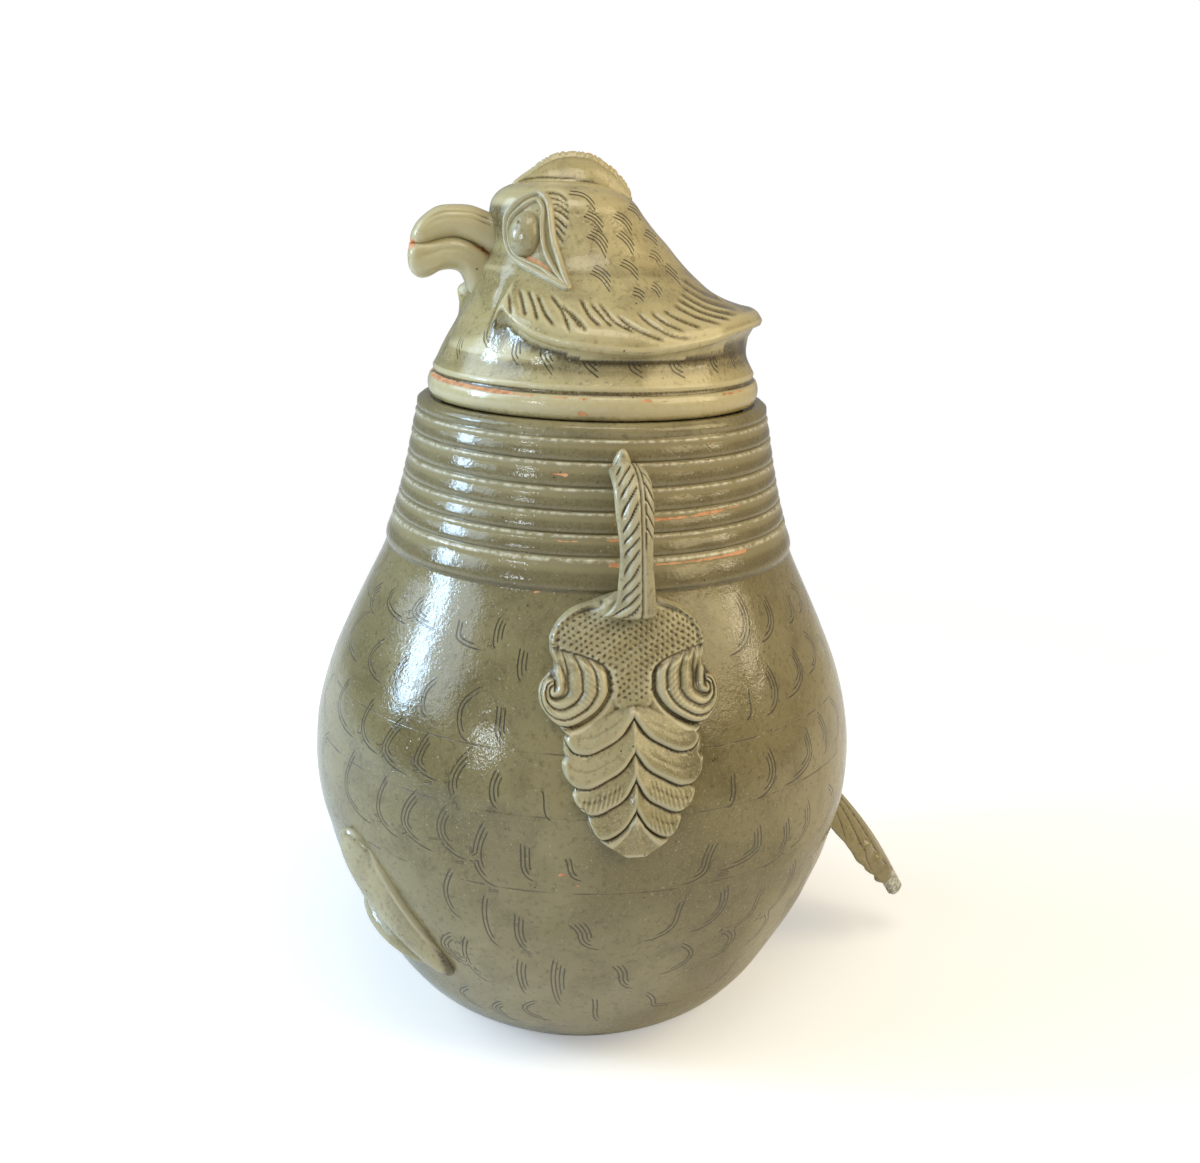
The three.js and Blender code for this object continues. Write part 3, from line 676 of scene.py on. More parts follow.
# Marks of a comb, drawn as curves in a flat frame of two coordinates; scale turns these to millimetres.
# Each mark: curve through points, count of parallel lines, side on which the shorter lines lie (-1 left)
def combed(flat, allowed, strokes, scale, spacing=1.7):
    n = len(flat)
    titles = ("combAcross", "combAlong", "combCount", "combNear")
    layers = {title: np.zeros(n, np.float32) for title in titles}
    layers["combAcross"] += 9
    best = np.full(n, 1e9)
    for points, count, side in strokes:
        line = curveThrough(points, np.linspace(0, 1, 22))
        middle = line.mean(0)
        wide, tall = scale(middle)
        reach = spacing * (count + 2)
        low, high = line.min(0) - (reach / wide, reach / tall), line.max(0) + (reach / wide, reach / tall)
        near = np.nonzero(allowed & (flat > low).all(-1) & (flat < high).all(-1))[0]
        if not len(near):
            continue
        p = (flat[near] - middle) * (wide, tall)
        q = (line - middle) * (wide, tall)
        start, step = q[:-1], np.diff(q, axis=0)
        share = np.clip(((p[:, None] - start) * step).sum(-1) / (step ** 2).sum(-1), 0, 1)
        gap = p[:, None] - (start + share[..., None] * step)
        far = np.linalg.norm(gap, axis=-1)
        i = far.argmin(-1)
        k = np.arange(len(near))
        turning = step[i, 0] * gap[k, i, 1] - step[i, 1] * gap[k, i, 0]
        across = far[k, i] * np.sign(turning) * side / spacing
        inside = (across > -2.6) & (across < count + 1.6)
        beside = np.maximum(np.maximum(-across, across - count + 1), 0)
        better = inside & (beside < best[near])
        chosen = near[better]
        best[chosen] = beside[better]
        layers["combAcross"][chosen] = across[better]
        length = (i + share[k, i]) / len(step)
        layers["combAlong"][chosen] = length[better]
        layers["combCount"][chosen] = count
        within = (beside < 1.1) & (length > 0.001) & (length < 0.999)
        layers["combNear"][chosen] = np.where(within[better], 1, 0.5)
    return layers


# Strokes on the side of the belly: angle from the beak and height of the top, the bulge and the hooked end,
# and how many teeth of the comb bit
sideStrokes = [
    (22.9, 210, 22.2, 206, 31.5, 201.5, 2), (36.5, 212, 33.9, 206.5, 42, 203, 3),
    (13.4, 194, 9.4, 185.5, 18.8, 179.5, 2),
    (28.4, 191, 24.7, 184, 31.3, 178, 2), (38.8, 190, 35.6, 183, 39.5, 175.5, 3),
    (47.9, 185, 45.3, 178.5, 47.5, 172.5, 2),
    (20.6, 170, 17.8, 162, 27, 153.5, 2), (32.4, 169, 30.2, 160, 36.1, 152.5, 2),
    (42, 166, 38.2, 154.5, 44.3, 149, 3),
    (49.2, 164, 46.9, 154, 52.1, 150, 3), (58.5, 161, 55.3, 151, 57.6, 143.5, 3),
    (64.6, 157, 63.6, 151, 65.2, 144.5, 3),
    (30.2, 145, 27.3, 131, 35.5, 122, 2), (40.9, 142, 38.5, 130, 43.9, 121.5, 2),
    (48.7, 141, 45.2, 129, 51.8, 121, 3),
    (55.3, 139, 53.5, 131, 59, 121.5, 3), (63, 135, 61, 123, 65.4, 112, 3),
    (69.9, 129, 70.1, 122, 72.3, 116, 3),
    (78, 125, 78.6, 121, 80.8, 117, 2), (73.6, 151, 73.9, 147, 75.2, 142, 1),
    (59, 185, 54.7, 177, 57.8, 168, 2),
    (62.9, 180, 63.2, 175, 65.2, 168.5, 3), (60, 211, 59.2, 207, 59.8, 201.5, 3),
    (66, 201, 65.9, 197, 67, 191.5, 3),
    (49.4, 207, 49.6, 202.5, 55.6, 199.5, 2), (56.6, 112, 54.3, 100, 56.9, 91, 2),
    (63, 103, 62.1, 93, 64.6, 80, 2),
    (68.8, 96, 68.4, 88, 71.4, 78, 3), (78.8, 93, 80.8, 87.5, 84.6, 81.5, 4),
    (57.3, 77, 55.6, 67, 60.3, 54.5, 2),
    (68.5, 70, 67.8, 61, 69.1, 50, 3), (76, 72, 75.2, 61, 77.2, 45, 4),
    (87.8, 69, 89.8, 63, 93.4, 55.5, 3),
    (84.5, 47, 85, 40, 86.8, 31.5, 2),
    (121.8, 217, 123.6, 210, 115.9, 199, 3), (132, 213, 132.8, 207, 126, 199.7, 3),
    (144.6, 209, 143.4, 205, 139.8, 201, 2),
    (135.8, 191, 137.4, 184, 129.7, 176.7, 3), (124.7, 189, 126.1, 182, 121.5, 173.7, 3),
    (117.7, 183, 117.3, 179, 115.6, 173.5, 1),
    (137.9, 163, 140.4, 156, 138, 148, 3), (132.1, 160, 133, 152, 124.3, 144.5, 3),
    (119.7, 159, 120.8, 152, 115.9, 143.5, 3),
    (110.6, 153, 110.4, 148, 108.7, 142.5, 2), (116.1, 129, 116.6, 121, 108.6, 115.5, 3),
    (123.8, 127, 124.6, 119, 118.6, 111, 3),
    (130.4, 130, 131.6, 122, 126.4, 114.5, 3), (106.6, 126, 104.9, 118, 100.3, 112.5, 3),
    (100.9, 102, 100.2, 94, 94.5, 85.5, 2),
    (109.7, 105, 110.5, 97, 104.4, 87, 3), (120.5, 97, 119.4, 88, 112.3, 80, 2),
    (128.4, 103, 130.4, 93, 122.2, 80.5, 3),
    (121.7, 54, 122.3, 47, 114.8, 40, 2), (97.2, 48, 100.8, 39.5, 107, 37, 2),
]
# Rows that carry on round the front and the back: height, tallness, first angle, step, marks
plainRows = [
    (205, 10, 150, 9.5, 4), (184, 13, 146, 9, 4), (156, 15, 148, 9, 4), (122, 17, 141, 9, 3),
    (92, 17, 138, 9, 3),
    (70, 15, 104, 10.5, 8), (46, 14, 134, 11, 5), (182, 13, 2, 9, 1), (205, 10, 5, 9, 2),
    (160, 15, 8, 9, 1),
    (134, 17, 5, 10, 2), (66, 16, 43, 9, 2), (34, 12, 51, 9, 3), (30, 10, 6, 10, 2),
]


# A stroke that bows away from its top end and hooks round to the lower one
def hooked(hand, topTurn, topZ, bowTurn, bowZ, endTurn, endZ):
    topZ = bowZ + (topZ - bowZ) * pot["combStretch"]
    endZ = bowZ + (endZ - bowZ) * pot["combStretch"]
    endTurn = bowTurn + (endTurn - bowTurn) * pot["combStretch"]
    w = np.linspace(1, 0, 7)
    upper = np.stack([bowTurn + (topTurn - bowTurn) * w ** 1.8, bowZ + (topZ - bowZ) * w], -1)
    w = np.sin(np.linspace(0, 1, 8)[1:] * math.pi / 2)
    hook = 1 - np.sqrt(1 - w * w)
    lower = np.stack([bowTurn + (endTurn - bowTurn) * hook, bowZ - (bowZ - endZ) * w], -1)
    return np.vstack([upper, lower]) * (hand, 1)


def bellyMarks():
    strokes = []
    for ta, za, tb, zb, tc, zc, teeth in sideStrokes:
        side = 1 if ta < 90 else -1
        for hand in (1, -1):
            strokes.append((hooked(hand, ta, za, tb, zb, tc, zc), teeth, side * hand))
    for high, tall, first, step, count in plainRows:
        for k in range(count):
            turn = first + step * k
            bow = 1 if turn < 90 else -1
            shift = math.sin(turn * 3.1 + high) * 1.4
            z = high + math.sin(turn * 1.7 + high * 0.3) * 3
            for hand in (1, -1):
                curve = hooked(hand, turn + bow * 2, z + tall / 2, turn - bow * 1.8, z,
                               turn + bow * (4 + shift), z - tall / 2)
                strokes.append((curve, 2 + (k % 2), bow * hand))
    return strokes


# Millimetres across and along for one degree and one millimetre of height on the belly
def bellyScale(at):
    z = float(at[1])
    slope = float(potRadius(z + 2) - potRadius(z - 2)) / 4
    return math.radians(1) * float(potRadius(z)), math.hypot(1, slope)


def addPot():
    profile = potProfile()
    bm = bmesh.new()
    line = [bm.verts.new((0, -r, z)) for r, z in profile]
    edges = [bm.edges.new(pair) for pair in zip(line, line[1:])]
    bmesh.ops.spin(bm, geom=line + edges, angle=2 * math.pi, steps=pot["aroundSteps"], axis=(0, 0, 1),
                   use_merge=True)
    bmesh.ops.remove_doubles(bm, verts=bm.verts, dist=0.002)
    bmesh.ops.recalc_face_normals(bm, faces=bm.faces)
    p = places(bm)
    radius = np.hypot(p[:, 0], p[:, 1])
    outside = (radius > potRadius(p[:, 2]) - 3) & (p[:, 2] > 0.2)
    wobble = wander(p[:, 0], p[:, 1], p[:, 2], 90, 3) * pot["wobble"] * outside * ease(0, 40, p[:, 2])
    grow = 1 + np.where(outside, np.minimum(wobble, 0), 0) / np.maximum(radius, 1)
    p[:, :2] *= grow[:, None]
    moveTo(bm, p)
    height = p[:, 2]
    turn = np.degrees(np.arctan2(p[:, 0], -p[:, 1]))
    heights = np.array(notches)[:, 0]
    i = np.clip(np.searchsorted(heights, height, side="right") - 1, 0, len(heights) - 2)
    share = (height - heights[i]) / (heights[i + 1] - heights[i])
    ribbed = outside & (height > heights[0]) & (height < heights[-1])
    # Neck rolls: the lip just under each notch is thin glaze with a painted highlight line; the whole neck is
    # painted a little paler, most on the upper band of each roll as painted light; the lower band and the
    # notch are painted shade over pooled glaze.
    lip = ribbed * np.exp(-((share - 0.91) / 0.085) ** 2)
    shade = 0.52 * ease(0.7, 0.45, share) * ease(0.0, 0.2, share) + 0.9 * np.exp(-(share / 0.05) ** 2)
    thin = np.maximum(lip, ribbed * (0.16 + 0.26 * ease(0.45, 0.78, share)))
    wear = outside * 0.5 * np.exp(-((height - 0.5) / 2.0) ** 2)
    wear = wear + ribbed * 0.2 * ease(0.95, 0.8, share) * ease(0.4, 0.7, share)
    for turn0, turn1, z0, z1, strength in neckChips:
        t = np.clip((abs(turn) - turn0) / (turn1 - turn0), 0, 1)
        across = (abs(turn) - (turn0 + (turn1 - turn0) * t)) * 1.5
        far = np.hypot(across, height - z0 - (z1 - z0) * t)
        wear = np.maximum(wear, outside * strength * np.exp(-far ** 2))
    marks = {"wear": wear, "poolAndShade": ribbed * shade, "paleAndLit": thin}
    nearest = abs(height[:, None] - np.array(pot["guideLines"])).min(-1)
    marks["guide"] = outside * np.clip(1 - nearest / 0.8, 0, 1)
    flat = np.stack([turn, height], -1)
    marks.update(combed(flat, outside & (height < neckFoot - 2), bellyMarks(), bellyScale))
    return makePiece("pot", bm, materials["potGlaze"], "jar", "pot_glaze", ["jar_body"], marks)


# Lid: heights above the rim
lid = {
    "seatGap": 0.3, "flangeClearance": 2.5, "flangeDepth": 11,
    "waistHeight": 23.9,
    "aroundSteps": 520,
    "spacing": 1.08,
    "strokeHalf": 0.85, "strokeDepth": 0.6,
    "cheeks": ((32, 45, 4.0, 0.9), (-18, 41.5, 5.0, 7.0)),  # turn, height, reach and height of the bumps
}
flangeRadius = pot["rimInner"] - lid["flangeClearance"]
bandRadius = pot["rimInner"] + 4.1
bandProfile = [
    (-2, 0.3), (-0.9, 1.2), (-0.4, 2.8), (0, 5.8), (-0.5, 8.2), (-0.9, 9.2), (-2.2, 10.2), (-2.5, 11.4),
    (-2.3, 12.9), (-3.0, 14.2), (-4, 16), (-5.8, 19.9),
]
capeEdgeHeight = [
    (0, 30.4), (36, 33.4), (45, 41.9), (50, 38.6), (56, 34.8), (65, 31.4), (82, 28.8), (95, 27.8),
    (108, 29),
    (121, 31.2), (135, 34), (156, 35.4), (180, 35.4),
]
capeEdgeRadius = [
    (0, 60.8), (36, 61), (45, 64), (55, 67.5), (65, 69.4), (78, 71), (120, 71.2), (150, 71.4),
    (166, 72.6), (180, 73.8),
]
waistRadius = [(0, 64.6), (60, 66.2), (180, 66.4)]
riseSide = [(0, 0), (0.05, 0.14), (0.2, 0.33), (0.45, 0.56), (0.72, 0.77), (1, 1)]
riseBack = [(0, 0), (0.07, 0.17), (0.2, 0.24), (0.45, 0.37), (0.72, 0.6), (1, 1)]
riseFront = [(0, 0), (0.2, 0.16), (0.41, 0.31), (0.66, 0.57), (0.85, 0.8), (1, 1)]
headRings = [  # height, centre along Y, radius
    (54.9, -5.1, 44.9), (60.4, -6.2, 40.6), (65.4, -8, 38), (71.4, -11.2, 35.3), (77.4, -13.6, 32.6),
    (81.9, -14.8, 30.4), (85.4, -15.5, 27), (88, -16, 22), (89.8, -16, 14), (90.4, -16, 7),
]
lidHollow = [  # height, centre along Y, radius
    (-11, 0, 59), (9.4, 0, 59.5), (25.4, 0, 57), (35.4, 0.4, 53.6), (45.4, -3, 45.5), (55.4, -6, 36.5),
    (65.4, -9, 29.5), (73.4, -12, 25), (79.4, -14.5, 18),
]


# Section of the lid's outside at one angle in degrees from the beak: rows of distance out and height.
# Distances run from the axis along the angle; the head's centre shift comes with them.
def lidSection(angle):
    side = abs((angle + 180) % 360 - 180)
    turn = math.radians(angle)
    sx, sy = math.sin(turn), -math.cos(turn)
    out, high = float(flowing(capeEdgeRadius, side)), float(flowing(capeEdgeHeight, side))
    rows = [(flangeRadius - 1, 0, -lid["flangeDepth"]), (flangeRadius, 0, 1.5 - lid["flangeDepth"]),
            (flangeRadius, 0, lid["seatGap"])]
    rows += [(bandRadius + o, 0, z) for o, z in bandProfile]
    waist = float(along(waistRadius, side))
    rows.append((waist, 0, lid["waistHeight"]))
    hang = float(ease(38, 50, side))
    slope = (1 - hang) * (waist - out) / (high - lid["waistHeight"])
    rows.append((out + slope * 2.2 - 3.6 * hang, 0, high - 2.2 - 1.2 * hang))
    rows.append((out + slope * 1.3 - 0.5 * hang, 0, high - 1.3 - 0.3 * hang))
    hz, hy, hr = headRings[0]
    front, back = 1 - float(ease(34, 60, side)), float(ease(115, 175, side))
    for t in (0.0, 0.02, 0.05, 0.1, 0.2, 0.32, 0.45, 0.58, 0.72, 0.86):
        rise = front * flowing(riseFront, t) + back * flowing(riseBack, t) \
            + (1 - front - back) * flowing(riseSide, t)
        rows.append(((1 - t) * out + t * hr, t * hy, high + (hz - high) * float(rise)))
    rows += [(r, y, z) for z, y, r in headRings]
    return np.array([(r * sx, y + r * sy, z) for r, y, z in rows])


sharpRows = (2, 3, 9, 10, 17, 18)


# Spreads points along a section, with rows kept closer where it turns
def lidRows():
    sample = lidSection(100.0)
    counts = []
    for a, b in zip(sample, sample[1:]):
        counts.append(max(1, int(math.ceil(np.linalg.norm(b - a) / lid["spacing"]))))
    return counts


def smoothSection(points, counts):
    n = len(points)
    slopes = np.zeros_like(points)
    steps = np.linalg.norm(np.diff(points, axis=0), axis=1) + 1e-6
    slopes[1:-1] = ((points[1:-1] - points[:-2]) / steps[:-1, None] * steps[1:, None]
                    + (points[2:] - points[1:-1]) / steps[1:, None] * steps[:-1, None])
    slopes[1:-1] /= (steps[:-1] + steps[1:])[:, None]
    line = []
    for i in range(n - 1):
        h = steps[i]
        m0, m1 = slopes[i] * h, slopes[i + 1] * h
        chord = points[i + 1] - points[i]
        if i in sharpRows or i == 0:
            m0 = chord
        if i + 1 in sharpRows or i + 1 == n - 1:
            m1 = chord
        t = (np.arange(counts[i]) / counts[i])[:, None]
        line.append((1 + 2 * t) * (1 - t) ** 2 * points[i] + t * (1 - t) ** 2 * m0
                    + t * t * (3 - 2 * t) * points[i + 1] - t * t * (1 - t) * m1)
    return np.vstack(line + [points[-1:]])


# Strokes on the head and cape, seen from the side: Y and height; count of teeth that bit
capeStrokes = [
    [(-42.0, 332.7), (-41.9, 325.7)], [(-37.7, 334.5), (-37.0, 329.5), (-36.7, 325.3)],
    [(-34.4, 334.2), (-33.0, 328.9), (-32.3, 324.0)], [(-31.3, 332.8), (-29.2, 326.9), (-26.0, 322.3)],
    [(-26.0, 333.1), (-22.6, 327.9), (-20.5, 320.4)], [(-22.3, 329.8), (-18.8, 325.8), (-15.9, 322.1)],
    [(-20.1, 328.0), (-16.5, 324.4), (-14.2, 321.0)], [(-15.0, 332.0), (-12.5, 326.8), (-8.4, 322.9)],
    [(-11.1, 330.6), (-7.8, 326.9), (-3.8, 322.8)], [(-7.7, 330.6), (-3.0, 325.1), (5.1, 320.9)],
    [(-1.1, 326.6), (3.6, 323.2), (10.2, 320.2), (16.7, 318.0)],
    [(7.0, 327.8), (11.6, 324.0), (19.2, 320.2), (28.9, 318.6)],
    [(12.7, 327.9), (17.8, 324.4), (25.7, 321.2)],
    [(18.0, 328.6), (24.5, 325.4), (33.1, 322.4)], [(23.0, 330.4), (31.5, 326.6), (43, 323.4)],
    [(25.5, 332.4), (35.2, 328.0), (48.4, 324.8)], [(27, 334.8), (37.4, 329.6), (52.5, 326.2)],
    [(29, 337.2), (39.5, 331.6), (56, 327.6)], [(30.5, 339.8), (41, 334.0), (57, 329.4)],
]
headStrokes = [
    ([(-11.4, 363.2), (-7.3, 361.4), (-3.4, 357.1)], 3),
    ([(-10.7, 355.6), (-6.1, 353.2), (-2.7, 347.3)], 4),
    ([(1.1, 363.5), (6.1, 361.0), (9.4, 356.0)], 3), ([(1.9, 356.5), (6.0, 353.4), (9.1, 348.4)], 3),
    ([(2.3, 345.2), (6.6, 343.1), (9.8, 339.2)], 3),
    ([(-10.2, 341.9), (-6.0, 339.6), (-2.8, 334.9)], 4),
    ([(5.9, 334.4), (8.5, 333.6), (10.1, 331.9)], 3),
    ([(14.2, 336.8), (16.1, 335.6), (17.2, 333.3)], 3),
    ([(16.1, 348.4), (19.2, 347.1), (20.9, 344.2)], 3),
    ([(-17.1, 371.6), (-10.5, 370.5), (-6.0, 365.6)], 2),
    ([(8.7, 366.8), (12.9, 364.9), (15.0, 362.0)], 3),
    ([(15.2, 356.6), (19.2, 354.6), (21.7, 352.1)], 3),
    ([(22, 344), (26, 341), (29, 337.5)], 3),
]
lashes = [
    [(-25.0, 372.0), (-20.5, 371.5), (-17.3, 368.6)], [(-24.2, 370.1), (-20.4, 369.3), (-17.0, 366.5)],
    [(-23.7, 367.9), (-20.2, 366.7), (-16.9, 364.0)], [(-23.5, 365.7), (-20.0, 364.2), (-17.0, 361.5)],
    [(-23.2, 362.8), (-20.4, 360.7), (-17.9, 358.0)], [(-23.1, 360.3), (-20.8, 358.2), (-18.7, 355.3)],
    [(-22.9, 357.8), (-21.0, 355.0), (-19.4, 352.1)],
]
collarStrokes = [  # angle from the beak, height above the rim
    ([(35.0, 31.6), (35.6, 28.7), (39.9, 24.9)], 3), ([(50.6, 29.8), (51.3, 23.6), (54.1, 19.7)], 3),
    ([(62.5, 30.4), (62.4, 23.7), (67.2, 16.7)], 3), ([(76.5, 25.9), (77.7, 21.3), (82.5, 16.7)], 3),
    ([(92.3, 23.3), (93.2, 20.0), (97.4, 16.8)], 4), ([(107.5, 22.7), (108.6, 19.3), (113.2, 16.3)], 4),
    ([(125.6, 23.9), (126.5, 20.4), (129.1, 17.2)], 3),
    ([(139.0, 23.2), (139.6, 20.9), (141.8, 17.6)], 3),
    ([(154, 23.6), (155, 20.4), (158, 17.4)], 3), ([(169, 23.4), (170, 20.4), (173, 17.2)], 3),
    ([(20, 27), (20.8, 23), (24.6, 18.6)], 3), ([(5, 26), (5.8, 22.4), (9.4, 18)], 3),
]
bandChips = [  # bare clay along the groove of the band: two turns, two heights above the rim, half width
    (3.8, 17, 9.9, 9.7, 1.1), (17, 54, 9.7, 9.3, 1.1), (54, 61.7, 9.3, 9.2, 0.5),
    (68.2, 73, 9.2, 9.2, 0.4),
    (75.8, 82.6, 8.9, 8.6, 0.75), (94.2, 99.2, 8.7, 8.6, 0.7), (102.2, 104.3, 8.6, 8.4, 0.6),
    (76.7, 79, 3.4, 3.0, 1.1), (128, 141, 9.0, 9.0, 0.6), (160, 172, 9.2, 9.0, 0.6),
]
# Bare clay under the eye, and dark glaze round the beak: Y, height, reach, strength, half width
eyeBare = [(26.5, -37.3, 60.6), (31, -34, 59.4), (35.5, -30, 57.8), (39.6, -26.6, 55.4)]
lidStains = [(-44, 74, 9, 0.75, 24), (-47, 52, 11, 0.45, 90)]


# Depth, from 0 to 1, of grooves drawn as curves in a flat frame
def grooves(flat, allowed, strokes, scale):
    depth = np.zeros(len(flat))
    for points in strokes:
        line = curveThrough(points, np.linspace(0, 1, 22))
        boxed = (flat > line.min(0) - 3).all(-1) & (flat < line.max(0) + 3).all(-1)
        near = np.nonzero(allowed & boxed)[0]
        start, step = line[:-1], np.diff(line, axis=0)
        share = np.clip(((flat[near][:, None] - start) * step).sum(-1) / (step ** 2).sum(-1), 0, 1)
        far = np.linalg.norm(flat[near][:, None] - (start + share[..., None] * step), axis=-1)
        i = far.argmin(-1)
        k = np.arange(len(near))
        length = (i + share[k, i]) / len(step)
        kept = ease(-0.1, 0.12, length) * ease(1.04, 0.8, length)
        cut = np.exp(-(far[k, i] * scale / lid["strokeHalf"]) ** 2) * kept
        depth[near] = np.maximum(depth[near], cut)
    return depth


def lidMarks(bm):
    p = places(bm)
    up = p[:, 2] - pot["rimTop"]
    turn = np.degrees(np.arctan2(p[:, 0], -p[:, 1]))
    bm.normal_update()
    normal = np.array([v.normal for v in bm.verts], float)
    outside = (normal * p).sum(-1) > 0
    side = np.stack([p[:, 1], p[:, 2]], -1)
    head = outside & (abs(normal[:, 0]) > 0.12) & (up > 30.5)
    cut = grooves(side, head, capeStrokes + lashes, 1.15)
    upper = [(line, teeth, 1) for line, teeth in headStrokes]
    layers = combed(side, head, upper, lambda at: (1.15, 1.15), 1.5)
    lower = [(np.array(line) * (hand, 1), teeth, hand) for line, teeth in collarStrokes for hand in (1, -1)]
    collar = outside & (up < 33) & (up > 13)
    low = combed(np.stack([turn, up], -1), collar, lower, lambda at: (1.16, 1))
    for title in layers:
        layers[title] = np.where(low["combNear"] > 0, low[title], layers[title])
    bump = 0
    for cheekTurn, cheekUp, reach, tall in lid["cheeks"]:
        far = np.hypot((turn - cheekTurn) * 0.9, (up - cheekUp) * 0.8)
        bump = bump + tall * np.exp(-(far / reach) ** 2) * outside
    moveTo(bm, p + normal * (bump - cut * lid["strokeDepth"])[:, None])
    wear = np.zeros(len(p))
    for turn0, turn1, up0, up1, half in bandChips:
        t = np.clip((abs(turn) - turn0) / (turn1 - turn0), 0, 1)
        off = np.hypot((abs(turn) - (turn0 + (turn1 - turn0) * t)) * 1.25, up - up0 - (up1 - up0) * t)
        wear = np.maximum(wear, 0.9 * np.exp(-(off / half) ** 2))
    either = np.stack([abs(p[:, 0]), p[:, 1], up], -1)
    gap = either[:, None] - curveThrough(eyeBare, np.linspace(0, 1, 24))
    wear = np.maximum(wear, np.exp(-(np.linalg.norm(gap, axis=-1).min(-1) / 2.2) ** 4))
    deep = hollows(bm, 10)
    layers["wear"] = wear * outside
    layers["poolAndShade"] = np.maximum(np.clip(deep / 0.2, 0, 1), cut * 0.75) * outside
    layers["paleAndLit"] = np.clip(-deep / 0.12 - 0.3, 0, 1) * 0.7 * outside
    for y, high, reach, strength, half in lidStains:
        stain = strength * np.exp(-(np.hypot(p[:, 1] - y, up - high) / reach) ** 2)
        layers["poolAndShade"] = np.maximum(layers["poolAndShade"], stain * (abs(p[:, 0]) < half))
    return layers


def addLid():
    counts = lidRows()
    inside = [(r, y, z) for z, y, r in lidHollow]
    steps = lid["aroundSteps"]
    angles = np.arange(steps) * 360 / steps
    skin = np.array([smoothSection(lidSection(a), counts) for a in angles])
    rings = skin.shape[1]
    bm = tubeBlank(rings + len(inside), steps)
    row, angle = ringPlaces(bm)
    column = np.rint(np.degrees(angle) / 360 * steps).astype(int) % steps
    p = np.zeros((len(row), 3))
    outer = row >= len(inside)
    p[outer] = skin[column[outer], row[outer] - len(inside)]
    hollow = np.array(inside[::-1])
    r, y, z = hollow[np.minimum(row, len(inside) - 1)].T
    p[~outer] = np.stack([r * np.sin(angle), y - r * np.cos(angle), z], -1)[~outer]
    p[:, 2] += pot["rimTop"]
    moveTo(bm, p)
    closeUp(bm)
    return makePiece("owlLid", bm, materials["litLidGlaze"], "lid", "lid_glaze", ["lid_body"], lidMarks(bm))


# Lofted pieces: each row has a centre, a half width vector and a half height vector
def loft(rows, count, shape=2.0):
    centres, wides, talls = (np.array(part, float) for part in zip(*rows))
    bm = tubeBlank(len(rows), count)
    row, angle = ringPlaces(bm)
    c, s = np.cos(angle), np.sin(angle)
    c = np.sign(c) * abs(c) ** (2 / shape)
    s = np.sign(s) * abs(s) ** (2 / shape)
    moveTo(bm, centres[row] + wides[row] * s[:, None] + talls[row] * c[:, None])
    return bm, row, angle


# Beak: upper and lower edges of each half in the plane of symmetry, from the head to the tip
beak = {"halfWidth": 9.5, "rows": 70, "around": 64}
upperTop = [(-34, 72), (-40, 74.4), (-49.3, 77.9), (-54.3, 79.4), (-60.6, 79.6), (-66.8, 79), (-71, 77),
            (-76, 72.7), (-78.8, 68), (-79.5, 64.6)]
upperUnder = [(-34, 58.4), (-38, 58.6), (-45.4, 59.4), (-49.7, 61.8), (-55, 64.4), (-60.6, 65.9),
              (-66.3, 65.3), (-71.1, 63.8), (-75.3, 63.0), (-79.2, 63.4)]
lowerTop = [(-34, 60), (-40, 60), (-46.2, 60.6), (-50.3, 63.1), (-55.4, 65.9), (-60.6, 67.3), (-66.0, 66.7),
            (-71.1, 65.1), (-75.3, 64.2), (-79.7, 63.6)]
lowerUnder = [(-40, 46), (-48, 45.5), (-54, 43.4), (-56.4, 47.4), (-58.6, 51.6), (-61.9, 53), (-67, 52.4),
              (-71.4, 50), (-75.2, 49.3), (-78.2, 50.8), (-80, 53.8), (-80.5, 58.4), (-79.9, 62.6)]


